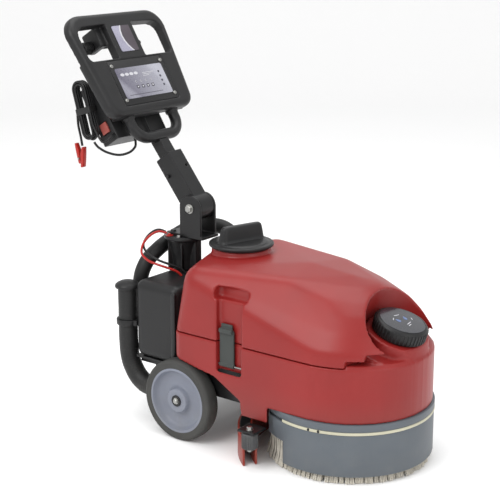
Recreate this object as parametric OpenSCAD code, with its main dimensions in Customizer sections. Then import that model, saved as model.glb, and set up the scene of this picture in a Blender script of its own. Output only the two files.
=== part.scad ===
// Compact walk-behind floor scrubber: disc brush under a round deck, body shell with the battery and the
// brush motor, lift-off twin tank, rear housing with the suction motor, squeegee and a tilting handle.
// The machine faces -Y, its handle is at +Y, X runs across it and Z is up, with the floor at z = 0.

/* [Deck and brush] */
// Radius of the rubber skirt round the brush deck
skirt_r = 197; // [180:1:220]
// Height of the deck's top edge above the floor
deck_z = 143; // [120:1:160]
// Radius of the bristle ring where it meets the floor
bristle_r = 191; // [150:1:200]
// Height of the brush plate's underside, which is the bristles' length
bristle_h = 64; // [30:1:80]

/* [Body] */
// Half width of the body shell, and its front radius
body_r = 193; // [170:1:210]
// Distance from the brush axis to the back of the body shell
body_back = 380; // [300:1:400]
// Height of the seam between the body shell and the tank
seam_z = 270; // [240:1:300]
// Wall thickness of the moulded shells
wall = 4; // [2:0.5:6]

/* [Tank] */
// Height of the lid's seat above the floor, which is the top of the tank's neck
tank_top = 447; // [400:1:500]
// Radius of the lid's flange
lid_r = 79; // [60:1:90]
// Distance from the brush axis to the lid's centre
lid_y = 318; // [280:1:330]
// Radius of the filler cap at the front
cap_r = 63; // [40:1:65]
// Forward tilt of the filler cap
cap_tilt = 18; // [0:1:30]

/* [Wheels] */
// Radius of the rear wheels
wheel_r = 100; // [70:1:120]
// Width of the rear wheels
wheel_w = 40; // [25:1:60]
// Distance from the machine's middle to a wheel's outer face
track_half = 203; // [180:1:230]
// Distance from the brush axis to the rear axle
axle_y = 359; // [300:1:400]

/* [Squeegee] */
// Radius of the squeegee's curve
sweep_r = 258; // [220:1:300]
// Half of the angle that the squeegee's curve covers
sweep_half = 55; // [40:1:65]
// Radius of the bumper rollers
roller_r = 19; // [10:1:25]

/* [Handle] */
// Lean of the handle panel back from upright
lean = 31.8; // [0:0.1:60]
// Half width of the handle frame
frame_w = 162; // [120:1:200]
// Depth of the handle frame
frame_d = 36; // [20:1:50]
// Radius of the lower grip tube
grip_r = 14; // [8:1:20]

/* [Hidden] */

$fn = 64;
gap = 0.4;
frame_y = 287;                 // middle of the machine's length, measured from the brush axis
flange_z = 450;                // top of the steering column's flange
column_y = 498;
housing_w = 157;
housing_y = [393, 529];
housing_z = [166, 361];
rail_x = 120;
pivot = [0, 454, 525];         // handle hinge
panel_at = [0, 647, 864];      // middle of the panel's upper screw row
arm_lean = 38;
cap_at = [0, -126, 316];
scoop_r = cap_r + 13;          // half the scoop's depth, front to back, round the filler cap
scoop_w = scoop_r * 1.5;       // half its width
notch_z = 302;                 // top of the tank's front notch, beside the scoop
ledge_z = 277;                 // the body's ledge under the notch
lip = 22;                      // width of the shell's top flange
front_dome = [[304, 190], [343, 165], [372, 139], [396, 106], [418, 60]];   // height, radius
crown = [[215, 437], [110, 441], [5, 431]];                                 // distance back, height
shoulders = [[150, 322, 392, 40], [108, 190, 402, 30], [160, 160, 352, 27],
    [100, 90, 402, 30], [95, -6, 378, 30], [85, -67, 358, 30]];             // x, y, z, radius
sweep_y = -18;
roller_at = [231, 116, 73];
strap_y = [198, 240];
strap_z = [211.5, 316];
strap_x = 182;
hinge_y = 322;                 // squeegee arm's hinge on the chassis
hinge_z = 118;
rod_at = [0, 78, -58];         // dead-man rod, in the panel's plane

// Routes of the hoses and leads, each from one end to the other
suction_route = [[-70, 560, 166.4], [-70, 560, 192], [-72, 565, 222], [-80, 574, 285], [-84, 572, 340], [-70, 563, 382],
    [-35, 558, 406], [5, 560, 418], [45, 558, 430], [80, 545, 442], [108, 515, 448], [124, 475, 445],
    [130, 442, 426], [131, 421, 402], [131, 414, 380], [131, 414, 363.5]];
drain_route = [[-140, 566, 330], [-140, 566, 260], [-140, 566, 190], [-140, 560, 145], [-140, 540, 110],
    [-140, 515, 92], [-140, 492, 88], [-140, 471.2, 88]];
red_route = [[-44, 518, 457], [-56, 534, 461], [-72, 548, 452], [-86, 559, 432], [-96, 556, 410],
    [-101, 532, 397], [-97, 505, 390], [-84, 482, 382], [-68, 466, 372], [-60, 458, 361]];
black_route = [[-36, 528, 457], [-45, 543, 462], [-56, 556, 456], [-68, 566, 441], [-78, 566, 424],
    [-86, 545, 409], [-85, 515, 398], [-72, 488, 388], [-52, 468, 376], [-44, 458, 361]];
charger_route = [[-117.6, 619, 705], [-127, 617, 701], [-136, 623, 692], [-141, 637, 687], [-139, 656, 691]];
clip_route = [[-135, 720, 752], [-135, 723, 735], [-135, 721, 715], [-135, 715, 692], [-135, 710, 668]];
loop_route = [[-132, 672, 681], [-126, 664, 668], [-112, 648, 655], [-92, 628, 648], [-72, 612, 653],
    [-57, 606, 665], [-49, 611, 677], [-46, 617, 687]];
control_route = [[-8, 618, 733], [-7, 608, 712], [-5, 598, 694], [-3, 589, 674], [-1, 575, 651], [0, 559, 629]];

red = [0.65, 0.18, 0.17];
grey = [0.43, 0.46, 0.5];
pale = [0.84, 0.82, 0.72];
black = [0.14, 0.14, 0.14];
rubber = [0.24, 0.24, 0.23];
steel = [0.72, 0.72, 0.72];
rim_grey = [0.56, 0.58, 0.62];

// ---- functions for swept tubes ----

function unit(v) = v / norm(v);
function curve_at(a, b, c, d, t) =
    ((2 * b) + (c - a) * t + (2 * a - 5 * b + 4 * c - d) * t * t + (3 * b - a - 3 * c + d) * t * t * t) / 2;
function smooth(p, n) = [
    for (i = [0:len(p) - 2])
        for (k = [0:n - 1])
            curve_at(p[max(i - 1, 0)], p[i], p[i + 1], p[min(i + 2, len(p) - 1)], k / n),
    p[len(p) - 1]];
function tangent(p, i) = unit(p[min(i + 1, len(p) - 1)] - p[max(i - 1, 0)]);
function ring(p, i, r, sides, across) =
    let (t = tangent(p, i), a = unit(cross(t, across)), b = cross(t, a))
    [for (k = [0:sides - 1]) p[i] + r * (a * cos(360 * k / sides) + b * sin(360 * k / sides))];

module tube(route, d, sides, n, across) {
    p = smooth(route, n);
    last = (len(p) - 1) * sides;
    points = [for (i = [0:len(p) - 1]) each ring(p, i, d / 2, sides, across)];
    walls = [for (i = [0:len(p) - 2]) for (k = [0:sides - 1])
        let (a = i * sides + k, b = i * sides + (k + 1) % sides)
        each [[a, a + sides, b + sides], [a, b + sides, b]]];
    ends = [[for (k = [0:sides - 1]) k], [for (k = [0:sides - 1]) last + sides - 1 - k]];
    polyhedron(points, concat(walls, ends), convexity = 6);
}

// ---- shared shapes ----

// Moves everything from the brush axis to the middle of the machine
module placed() {
    translate([0, -frame_y, 0])
        children();
}

// Rectangle with round corners, centred
module round_rect(w, h, r) {
    square([w - 2 * r, h], center = true);
    square([w, h - 2 * r], center = true);
    for (x = [-1, 1])
        for (y = [-1, 1])
            translate([x * (w / 2 - r), y * (h / 2 - r)])
                circle(r);
}

// Outline of the body from above: a half circle in front and straight sides
module plan(r, back, corner) {
    circle(r, $fn = 128);
    translate([-r, 0])
        square([2 * r, back - corner]);
    translate([-r + corner, 0])
        square([2 * (r - corner), back]);
    for (x = [-1, 1])
        translate([x * (r - corner), back - corner])
            circle(corner);
}

// Cylinder along X between two x values
module x_rod(x1, x2, r) {
    translate([x1, 0, 0])
        rotate([0, 90, 0])
            cylinder(r = r, h = x2 - x1);
}

// Box from its lowest to its highest corner
module box(a, b) {
    translate(a)
        cube(b - a);
}

// Ring round the Z axis
module ring_z(outer, inner, z1, z2) {
    translate([0, 0, z1])
        difference() {
            cylinder(r = outer, h = z2 - z1, $fn = 128);
            translate([0, 0, -1])
                cylinder(r = inner, h = z2 - z1 + 2, $fn = 128);
        }
}

// Children drawn in the handle panel's own plane: x across, y up the panel, z out of its face
module on_panel() {
    placed()
        translate(panel_at)
            rotate([90 - lean, 0, 0])
                children();
}

// Children drawn along the handle arm: y runs up the arm from the hinge
module on_arm() {
    placed()
        translate(pivot)
            rotate([90 - arm_lean, 0, 0])
                children();
}

// ---- chassis, deck and brush ----

// Two rails with the axle plates, battery tray, rear shelf, squeegee hinge plates and drain socket
module chassis_frame() {
    color(black)
        placed()
            difference() {
                union() {
                    for (x = [-rail_x, rail_x]) {
                        box([x - 10, -60, deck_z + gap], [x + 10, 534, 163]);
                        box([x - 4, 325, 80], [x + 4, 393, deck_z + 1]);
                    }
                    for (s = [-1, 1])
                        scale([s, 1, 1]) {
                            box([150, 180, 118], [155, 386, 196]);
                            box([129, 180, 146], [151, 386, 160]);
                        }
                    box([-rail_x, 135, 157], [rail_x, 345, 163]);
                    box([-150, 385, 160], [150, 531, housing_z[0] - gap]);
                    box([-95, 528, 160], [-45, 585, housing_z[0] - gap]);
                    for (x = [-24, 24])
                        box([x - 4, hinge_y - 14, hinge_z - 14], [x + 4, hinge_y + 14, 158]);
                    box([-158, 458, 66], [-118, 469, 120]);
                    box([-149, 458, 110], [-131, 469, 162]);
                }
                translate([-140, 440, 88])
                    rotate([-90, 0, 0])
                        cylinder(r = 15, h = 40);
                translate([0, axle_y, wheel_r])
                    x_rod(-140, 140, 10.2);
                translate([0, hinge_y, hinge_z])
                    x_rod(-40, 40, 6.2);
            }
}

// Pressed deck: a flat top with a short wall, cut off square behind the brush
module deck() {
    color(grey)
        placed()
            difference() {
                union() {
                    ring_z(190, 20, deck_z - 4, deck_z);
                    ring_z(190, 187, 80, deck_z);
                    ring_z(skirt_r + 1, 187, 126 + gap, deck_z);
                }
                box([-200, 128, 0], [200, 210, deck_z + 5]);
            }
}

// Rubber skirt: low round the front, and stepped up at both ends
module skirt() {
    color(grey)
        placed()
            difference() {
                ring_z(skirt_r, 190 + gap, 20, 119);
                box([-200, 54, 0], [200, 210, 73]);
                box([-200, 116, 70], [200, 210, 130]);
            }
}

// Clamping band round the skirt's upper edge
module skirt_band() {
    color(pale)
        placed()
            difference() {
                ring_z(skirt_r + 1.5, 190 + gap, 119 + gap, 126);
                box([-210, 56, 110], [210, 210, 140]);
            }
}

module gearbox() {
    color(steel)
        placed()
            ring_z(58, 10.5, deck_z + gap, 170);
}

module brush_motor() {
    color(black)
        placed() {
            translate([0, 0, 170 + gap])
                cylinder(r = 62, h = 75);
            translate([0, 0, 245])
                cylinder(r = 30, h = 12);
        }
}

module drive_shaft() {
    color(steel)
        placed()
            translate([0, 0, 84])
                cylinder(r = 10, h = 80);
}

module brush_plate() {
    color([0.6, 0.55, 0.4])
        placed()
            difference() {
                union() {
                    ring_z(182, 60, bristle_h + gap, bristle_h + 14);
                    ring_z(64, 40, bristle_h + gap, bristle_h + 26);
                    ring_z(42, 5, bristle_h + 10, bristle_h + 36);
                }
                translate([0, 0, 84 - gap])
                    cylinder(r = 10 + 0.05, h = 40);
            }
}

// The bristle ring flares a little as it meets the floor
module bristles() {
    color(pale)
        placed()
            rotate_extrude($fn = 128)
                polygon([[92, 0], [bristle_r, 0], [bristle_r - 3, 6], [185, 14], [180, bristle_h],
                    [92, bristle_h]]);
}

// ---- body ----

// Recess for the latch straps and the finger pockets above them, grown by g
module side_pockets(g) {
    for (s = [-1, 1])
        scale([s, 1, 1]) {
            box([176 - g, 172 - g, 200], [210, 244 + g, 372 + g]);
            box([160 - g, 165 - g, 371 - g], [215, 255 + g, 401 + g]);
        }
}

module body_side_profile(g) {
    polygon([[-210, deck_z + gap], [96 + g, deck_z + gap], [98 + g, 106], [171 - g, 106], [176 - g, 141],
        [250, 183], [262, 186], [300, 192], [400, 212], [400, seam_z - g / 2], [-210, seam_z - g / 2]]);
}

// Outline of the tank's front notch from above, grown by g
module notch(g) {
    for (s = [-1, 1])
        scale([s, 1])
            polygon([[-g - 1, -110 + g], [90, -110 + g], [143 + g, -128 + g], [175 + g, -160], [175 + g, -215],
                [-g - 1, -215]]);
}

// Lower step of the notch, further round the side
module side_notch(g) {
    for (s = [-1, 1])
        scale([s, 1])
            polygon([[90, -110 + g], [152, -92 + g], [200 + g, -92 + g], [200 + g, -215], [90, -215]]);
}

// Wide bowl round the filler cap, on the cap's axis and grown by g
module bowl(g, h) {
    scale([(scoop_w + g) / (scoop_r + g), 1, 1])
        cylinder(r = scoop_r + g, h = h);
}

// Children drawn on the filler cap's tilted axis
module on_cap() {
    translate(cap_at)
        rotate([cap_tilt, 0, 0])
            children();
}

// Raised seat of the filler cap in the tank's scoop and the ledge beside it, drawn in by t on every side
module filler_seat(t) {
    intersection() {
        translate([0, 0, seam_z - wall])
            cylinder(r1 = 190 - t, r2 = 172 - t, h = 84, $fn = 128);
        difference() {
            union() {
                on_cap()
                    translate([0, 0, -80])
                        cylinder(r = scoop_r - gap - t, h = 80 - t);
                on_cap()
                    translate([0, 0, -80])
                        bowl(-gap - t, 52 - t);
                translate([0, 0, seam_z - wall])
                    linear_extrude(ledge_z - seam_z + wall - t) {
                        notch(-gap - t);
                        side_notch(-gap - t);
                    }
            }
            on_cap()
                translate([0, 0, -t])
                    cylinder(r = scoop_w, h = 80);
        }
    }
}

// Lower body: an open shell over the motor, the clean water and the batteries, with the filler's seat
module body_shell() {
    color(red)
        placed() {
            difference() {
                intersection() {
                    translate([0, 0, 90])
                        linear_extrude(seam_z - 90)
                            plan(body_r, body_back, 30);
                    rotate([90, 0, 90])
                        translate([0, 0, -220])
                            linear_extrude(440)
                                body_side_profile(0);
                }
                difference() {
                    translate([0, 0, 80])
                        linear_extrude(seam_z - 80 - wall)
                            plan(body_r - wall, body_back - wall, 26);
                    side_pockets(wall);
                }
                translate([0, 0, 90])
                    linear_extrude(seam_z)
                        plan(body_r - lip, body_back - lip, 12);
                side_pockets(0);
            }
            difference() {
                union() {
                    difference() {
                        filler_seat(0);
                        translate([0, 0, -0.5])
                            filler_seat(wall);
                    }
                    on_cap()
                        translate([0, 0, -40])
                            cylinder(r = 40, h = 52);
                }
                on_cap()
                    translate([0, 0, -56])
                        cylinder(r = 35, h = 76);
            }
        }
}

// Ring round the brush motor that holds the clean water, drawn in by t on every side
module water_ring(t) {
    difference() {
        translate([0, 0, 166 + t])
            cylinder(r = 186 - t, h = 96 - 2 * t);
        translate([0, 0, 160])
            cylinder(r = 70 + t, h = 110);
        box([-200, 110 - t, 160], [200, 200, 270]);
    }
}

// Clean-water vessel in the front of the shell, open under the filler
module clean_tank() {
    color(pale)
        placed()
            difference() {
                water_ring(0);
                water_ring(3);
                translate([0, -112, 250])
                    cylinder(r = 36, h = 20);
            }
}

module battery(x1, x2) {
    color([0.2, 0.2, 0.22])
        placed()
            difference() {
                box([x1, 150, 163 + gap], [x2, 335, 258]);
                for (y = [165, 320])
                    translate([(x1 + x2) / 2, y, 250])
                        cylinder(r = 8, h = 20);
            }
}

// ---- tank ----

// The tank's outer form, drawn in by t on every side
module tank_form(t) {
    hull($fn = 32) {
        translate([0, 0, seam_z + gap + t])
            linear_extrude(1)
                plan(body_r - 1 - t, body_back - t, 30);
        for (level = front_dome)
            translate([0, 0, level[0] - t])
                cylinder(r = level[1] - t, h = 1);
        for (s = [-1, 1])
            for (p = shoulders)
                translate([s * p[0], p[1], p[2]])
                    sphere(p[3] - t, $fn = 24);
        for (p = crown)
            translate([0, p[0], p[1] - 40])
                sphere(40 - t, $fn = 32);
        translate([0, lid_y, tank_top - 47])
            cylinder(r = lid_r - 4 - t, h = 30 - t);
    }
}

// What the tank leaves free for the filler cap and its seat, grown by g
module scoop(g) {
    on_cap()
        translate([0, 0, -95])
            bowl(g, 265);
    translate([0, 0, seam_z - 20])
        linear_extrude(notch_z + g - seam_z + 20)
            notch(g);
    translate([0, 0, seam_z - 20])
        linear_extrude(notch_z - 14 + g - seam_z + 20)
            side_notch(g);
}

// Lift-off tank for the recovered water, with one wide neck
module twin_tank() {
    color(red)
        placed()
            difference() {
                union() {
                    difference() {
                        tank_form(0);
                        scoop(0);
                    }
                    translate([0, lid_y, tank_top - 47])
                        cylinder(r = lid_r - 7, h = 47);
                }
                difference() {
                    tank_form(wall);
                    scoop(wall);
                    side_pockets(wall);
                }
                translate([0, lid_y, tank_top - 67])
                    cylinder(r = lid_r - 12, h = 80);
                side_pockets(0);
            }
}

module lid_seal() {
    color(rubber)
        placed()
            translate([0, lid_y, 0])
                ring_z(lid_r - 7, lid_r - 11.5, tank_top + gap, tank_top + 3);
}

// Screw lid with a dished flange and a bar grip turned a little off the machine's width
module lid() {
    color(black)
        placed()
            translate([0, lid_y, tank_top]) {
                ring_z(lid_r, lid_r - 13, 3 + gap, 11);
                translate([0, 0, -7])
                    cylinder(r = lid_r - 13, h = 22);
                rotate([0, 0, -17])
                    hull() {
                        translate([0, 0, 14])
                            linear_extrude(24)
                                round_rect(126, 28, 10);
                        translate([6, 0, 14])
                            linear_extrude(39)
                                round_rect(106, 20, 8);
                    }
            }
}

module cap_seal() {
    color(rubber)
        placed()
            on_cap()
                ring_z(54, 41.5, gap, 1.8);
}

module filler_cap() {
    color(black)
        placed()
            on_cap()
                difference() {
                    union() {
                        translate([0, 0, 2])
                            cylinder(r = cap_r, h = 28);
                        translate([0, 0, 30])
                            cylinder(r1 = cap_r, r2 = cap_r - 4, h = 4);
                    }
                    translate([0, 0, -1])
                        cylinder(r = 41, h = 14);
                }
}

module cap_face() {
    color(rim_grey)
        placed()
            on_cap()
                translate([0, 0, 34 + 0.1])
                    cylinder(r = 53, h = 0.9);
}

// Rubber latch strap that holds the tank down, with its pull tab at the top
module strap(s) {
    color(rubber)
        placed()
            difference() {
                scale([s, 1, 1])
                    union() {
                        box([strap_x - 3, strap_y[0], strap_z[0]], [strap_x + 3, strap_y[1], strap_z[1]]);
                        box([strap_x, strap_y[0], 296], [strap_x + 10, strap_y[1], 306]);
                    }
                translate([s * strap_x, 0, 216])
                    rotate([-90, 0, 0])
                        cylinder(r = 2.2, h = 300);
            }
}

// Hinge pins of both straps
module strap_pins() {
    color(steel)
        placed()
            for (s = [-1, 1])
                translate([s * strap_x, 172, 216])
                    rotate([-90, 0, 0])
                        cylinder(r = 2, h = 72);
}

// ---- wheels ----

module axle() {
    color(steel)
        placed()
            translate([0, axle_y, wheel_r])
                x_rod(-track_half + 4, track_half - 4, 10);
}

module axle_caps() {
    color(black)
        placed()
            for (s = [-1, 1])
                translate([s * track_half, axle_y, wheel_r])
                    scale([s, 1, 1]) {
                        x_rod(-4 + gap, 1, 13);
                        x_rod(1, 5, 8);
                    }
}

// Moulded rim: a dished disc with a hub, a bead and a recessed face
module rim(s) {
    color(rim_grey)
        placed()
            translate([s * (track_half - wheel_w / 2), axle_y, wheel_r])
                scale([s, 1, 1])
                    difference() {
                        x_rod(-wheel_w / 2 + 2, wheel_w / 2 - 1, wheel_r - 20);
                        x_rod(8, wheel_w, wheel_r - 28);
                        x_rod(-wheel_w, -8, wheel_r - 28);
                        x_rod(-wheel_w, wheel_w, 10.3);
                    }
    color(rim_grey)
        placed()
            translate([s * (track_half - wheel_w / 2), axle_y, wheel_r])
                scale([s, 1, 1])
                    difference() {
                        x_rod(-wheel_w / 2 + 2, wheel_w / 2 - 5, 24);
                        x_rod(-wheel_w, wheel_w, 10.3);
                    }
}

module tyre(s) {
    color(rubber)
        placed()
            translate([s * (track_half - wheel_w / 2), axle_y, wheel_r])
                rotate([0, 90, 0])
                    rotate_extrude($fn = 128)
                        polygon([[wheel_r - 20 + 0.1, -wheel_w / 2], [wheel_r - 5, -wheel_w / 2],
                            [wheel_r - 1, -wheel_w / 2 + 5], [wheel_r, -wheel_w / 2 + 11],
                            [wheel_r, wheel_w / 2 - 11], [wheel_r - 1, wheel_w / 2 - 5],
                            [wheel_r - 5, wheel_w / 2], [wheel_r - 20 + 0.1, wheel_w / 2]]);
}

// ---- rear housing, hoses ----

// Closed housing for the suction motor, with a raised rib at its front edge
module rear_housing() {
    color(black)
        placed()
            difference() {
                union() {
                    box([-housing_w, housing_y[0], housing_z[0]], [housing_w, housing_y[1], housing_z[1]]);
                    for (s = [-1, 1])
                        scale([s, 1, 1])
                            box([housing_w - 1, housing_y[0], 175], [housing_w + 6, housing_y[0] + 14, 355]);
                }
                box([-housing_w + wall, housing_y[0] + wall, housing_z[0] + wall],
                    [housing_w - wall, housing_y[1] - wall, housing_z[1] - wall]);
            }
}

module suction_motor() {
    color(steel)
        placed()
            translate([60, 461, housing_z[0] + wall + gap])
                cylinder(r = 60, h = 120);
}

module suction_hose() {
    color(black)
        placed()
            tube(suction_route, 38, 12, 2, [1, 0.1, 0.2]);
}

module drain_hose() {
    color(black)
        placed()
            tube(drain_route, 48, 12, 2, [1, 0, 0]);
}

module drain_cap() {
    color(black)
        placed()
            translate([-140, 566, 330 + gap])
                rotate_extrude()
                    polygon([[0, 0], [30, 0], [31, 5], [27, 12], [15, 17], [0, 19]]);
}

// Clip that holds the drain hose to the rear housing
module hose_clip() {
    color(black)
        placed()
            difference() {
                union() {
                    translate([-140, 566, 238])
                        cylinder(r = 29, h = 14);
                    box([-150, housing_y[1] + gap, 238], [-130, 550, 252]);
                }
                translate([-140, 566, 230])
                    cylinder(r = 24.4, h = 30);
            }
}

// ---- squeegee ----

// Part of a ring behind the brush, swept through the squeegee's angle
module sweep(r1, r2, z1, z2) {
    placed()
        translate([0, sweep_y, 0])
            rotate([0, 0, 90 - sweep_half])
                rotate_extrude(angle = 2 * sweep_half, $fn = 128)
                    translate([r1, z1])
                        square([r2 - r1, z2 - z1]);
}

module squeegee_bar() {
    color(black)
        difference() {
            union() {
                sweep(sweep_r - 12, sweep_r + 12, 56, 72);
                for (s = [-1, 1])
                    placed()
                        box([min(s * 196, s * 244), 96, 92], [max(s * 196, s * 244), 142, 98]);
                for (s = [-1, 1])
                    placed()
                        box([min(s * 196, s * 208), 118, 70 + gap], [max(s * 196, s * 208), 142, 94]);
                placed()
                    box([-34, sweep_r + sweep_y - 12, 70], [34, sweep_r + sweep_y + 12, 92]);
            }
            for (s = [-1, 1])
                placed()
                    translate([s * roller_at[0], roller_at[1], 80])
                        cylinder(r = 5.2, h = 40);
        }
}

// Arm from the squeegee back to its hinge on the chassis, with the hinge pin
module squeegee_arm() {
    color(steel)
        placed()
            union() {
                translate([0, hinge_y, hinge_z])
                    x_rod(-19.5, 19.5, 11);
                translate([0, hinge_y, hinge_z])
                    x_rod(-34, 34, 6);
                box([-12, sweep_r + sweep_y - 10, 92 + gap], [12, hinge_y, 104]);
                box([-12, hinge_y - 12, 95], [12, hinge_y, hinge_z]);
            }
}

module blade_front() {
    color(red)
        sweep(sweep_r - 17, sweep_r - 12 - gap, 1, 70);
}

module blade_rear() {
    color(red)
        sweep(sweep_r + 12 + gap, sweep_r + 17, 1, 70);
}

module roller(s) {
    color(rubber)
        placed()
            translate([s * roller_at[0], roller_at[1], 0])
                ring_z(roller_r, 5.3, 55, 91);
}

module roller_bolts() {
    color(steel)
        placed()
            for (s = [-1, 1])
                translate([s * roller_at[0], roller_at[1], 0]) {
                    translate([0, 0, 46])
                        cylinder(r = 5, h = 60);
                    translate([0, 0, 46])
                        cylinder(r = 9, h = 8);
                    translate([0, 0, 98 + gap])
                        cylinder(r = 9, h = 9);
                }
}

// ---- column and handle ----

module column() {
    color(black)
        placed() {
            translate([0, column_y, housing_z[1] + gap])
                cylinder(r = 31, h = 30);
            translate([0, column_y, 390])
                cylinder(r1 = 31, r2 = 46, h = 50);
            translate([0, column_y, 440])
                cylinder(r = 51, h = flange_z - 440);
            box([-12, column_y - 46, housing_z[1] + gap], [12, column_y, 442]);
        }
}

// Fork on the flange that carries the handle's hinge
module fork() {
    color(black)
        placed()
            difference() {
                union() {
                    box([-31, 414, flange_z + gap], [31, 530, 457]);
                    for (x = [-31, 24.4])
                        translate([x, 0, 0]) {
                            translate([0, pivot[1], pivot[2]])
                                x_rod(0, 6.6, 33);
                            box([0, 421, 456], [6.6, 487, pivot[2]]);
                        }
                    for (x = [-20, 20])
                        translate([x, 517, 457])
                            cylinder(r = 7, h = 5);
                }
                translate(pivot)
                    x_rod(-50, 50, 8.2);
            }
}

module pivot_bolt() {
    color(steel)
        placed()
            translate(pivot) {
                x_rod(-33, 36, 8);
                x_rod(-41, -31 - gap, 12);
                x_rod(31 + gap, 39, 12);
            }
}

// Knuckle and box section that the stem slides into
module handle_arm() {
    color(black)
        on_arm()
            difference() {
                union() {
                    x_rod(-24, 24, 32);
                    box([-24, 10, -25], [24, 150, 25]);
                }
                box([-20, 40, -21], [20, 160, 21]);
                x_rod(-50, 50, 8.2);
                translate([0, 100, -13])
                    x_rod(-50, 50, 4.2);
                translate([12, 105, 0])
                    cylinder(r = 4, h = 60, center = true);
            }
}

module stem() {
    color(black)
        on_arm()
            difference() {
                box([-16, 50, -17], [16, 206, 14]);
                translate([0, 204.3, 6.7])
                    x_rod(-60, 60, grip_r + gap);
                box([-3, 60, -30], [3, 195, -14]);
            }
    color(steel)
        on_arm()
            translate([0, 100, -13])
                x_rod(-30, 30, 4);
}

// Openings for the hands either side of the bridge
module hand_openings() {
    for (x = [-86, 86])
        translate([x, 68])
            round_rect(88, 80, 16);
}

module handle_frame() {
    color(black)
        on_panel()
            difference() {
                union() {
                    translate([0, 1.5, -frame_d])
                        linear_extrude(frame_d - 7)
                            round_rect(2 * frame_w, 287, 42);
                    translate([0, 1.5, -7])
                        linear_extrude(7)
                            round_rect(2 * frame_w - 12, 275, 36);
                    box([-153, rod_at[1] - 12, rod_at[2] - 12], [-139, rod_at[1] + 12, -frame_d + 1]);
                    box([-66, rod_at[1] - 14, rod_at[2] - 14], [-47, 124, -frame_d]);
                    box([-66, 112, -frame_d - 1], [-47, 124, -frame_d + 1]);
                }
                translate([0, 0, -frame_d - 1])
                    linear_extrude(frame_d + 2)
                        hand_openings();
                box([-99, -107, -5], [99, 15, 5]);
                box([-130, -128, -frame_d - 1], [130, 14, -12]);
                translate(rod_at)
                    x_rod(-160, -40, 6.4);
            }
}

// Cover that closes the hollow back of the handle frame
module frame_back() {
    color(black)
        on_panel()
            box([-129.6, -127.6, -frame_d], [129.6, 13.6, -frame_d + 3]);
}

// Half-ring grip under the frame
module lower_grip() {
    color(black)
        on_panel()
            translate([0, 0, -30]) {
                for (s = [-1, 1]) {
                    translate([s * 81, -142 - gap, 0])
                        rotate([90, 0, 0])
                            cylinder(r = grip_r, h = 4 - gap);
                    translate([s * 41, -146, 0])
                        rotate([0, 0, s > 0 ? -90 : 180])
                            rotate_extrude(angle = 90)
                                translate([40, 0])
                                    circle(grip_r);
                }
                translate([0, -186, 0])
                    x_rod(-41, 41, grip_r);
            }
}

module panel_plate() {
    color(rim_grey)
        on_panel() {
            box([-98, -106, -5 + 0.1], [98, 14, -1.6]);
            box([-84.5, -90, -2], [84.5, -8, -0.6]);
            box([-32, 33, 0.1], [32, 105, 0.9]);
        }
}

module panel_screws() {
    color(steel)
        on_panel()
            for (x = [-88.8, 88.8])
                for (y = [0, -92.5])
                    translate([x, y, -1.5])
                        cylinder(r = 4.6, h = 2.6, $fn = 24);
}

// Rod behind the hand openings with the operator's paddle and a knurled knob
module deadman_rod() {
    color(black)
        on_panel()
            translate(rod_at) {
                x_rod(-150, 112, 6);
                x_rod(-98, -68, 16);
                box([52, -10, -4], [112, 10, 4]);
            }
}

module charger() {
    color(black)
        on_panel()
            difference() {
                union() {
                    box([-118, -165, -106], [60, -12, -52]);
                    box([-90, -118, -53], [40, -24, -frame_d - gap]);
                    for (y = [-158:12:-26])
                        box([-100, y, -112], [50, y + 4, -105]);
                }
                box([-130, -140, -92], [-114, -112, -66]);
            }
}

module charger_switch() {
    color([0.75, 0.3, 0.25])
        on_panel() {
            box([-121, -139, -91], [-116.5, -113, -67]);
            translate([-118.7, -126, -91.8])
                cylinder(r = 2, h = 25.6);
        }
}

// Wound lead beside the charger, standing as one closed form
module cable_hank() {
    color(black)
        placed()
            translate([-146, 694, 757])
                rotate([-16, 0, 0])
                    rotate([90, 0, 90])
                        linear_extrude(22)
                            round_rect(46, 150, 22.9);
}

module charger_cable() {
    color(black)
        placed() {
            tube(charger_route, 6, 8, 2, [0, 0.3, 1]);
            tube(clip_route, 6, 8, 2, [1, 0, 0]);
            tube(loop_route, 6, 8, 2, [0.3, 0.2, 1]);
        }
}

module clip_body() {
    color([0.75, 0.18, 0.14])
        placed()
            translate([-135, 708, 640])
                cube([13, 11, 52], center = true);
}

module clip_jaw() {
    color([0.75, 0.18, 0.14])
        placed()
            union() {
                translate([-135, 722, 648])
                    rotate([-9, 0, 0])
                        cube([11, 8, 52], center = true);
                translate([-135, 718, 636])
                    x_rod(-8, 8, 3);
            }
}

module battery_leads() {
    color([0.75, 0.15, 0.12])
        placed()
            tube(red_route, 6, 8, 2, [0.2, 0.3, 1]);
    color(black)
        placed()
            tube(black_route, 6, 8, 2, [0.2, 0.3, 1]);
}

module control_cable() {
    color(black)
        placed()
            tube(control_route, 4, 8, 2, [1, 0, 0]);
}

chassis_frame();
deck();
skirt();
skirt_band();
body_shell();
gearbox();
brush_motor();
drive_shaft();
brush_plate();
bristles();
axle();
axle_caps();
rim(-1);  // rim_left
rim(1);  // rim_right
tyre(-1);  // tyre_left
tyre(1);  // tyre_right
battery(-112, -4);  // battery_left
battery(4, 112);  // battery_right
clean_tank();
twin_tank();
lid_seal();
lid();
cap_seal();
filler_cap();
cap_face();
strap(-1);  // strap_left
strap(1);  // strap_right
strap_pins();
rear_housing();
suction_motor();
suction_hose();
drain_hose();
drain_cap();
hose_clip();
squeegee_bar();
squeegee_arm();
blade_front();
blade_rear();
roller(-1);  // roller_left
roller(1);  // roller_right
roller_bolts();
column();
fork();
pivot_bolt();
handle_arm();
stem();
handle_frame();
frame_back();
lower_grip();
panel_plate();
panel_screws();
deadman_rod();
charger();
charger_switch();
cable_hank();
charger_cable();
clip_body();
clip_jaw();
battery_leads();
control_cable();
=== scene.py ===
"""Looks of a compact walk-behind floor scrubber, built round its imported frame."""

import math

import bmesh
import bpy
from mathutils import Matrix, Vector


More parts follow.
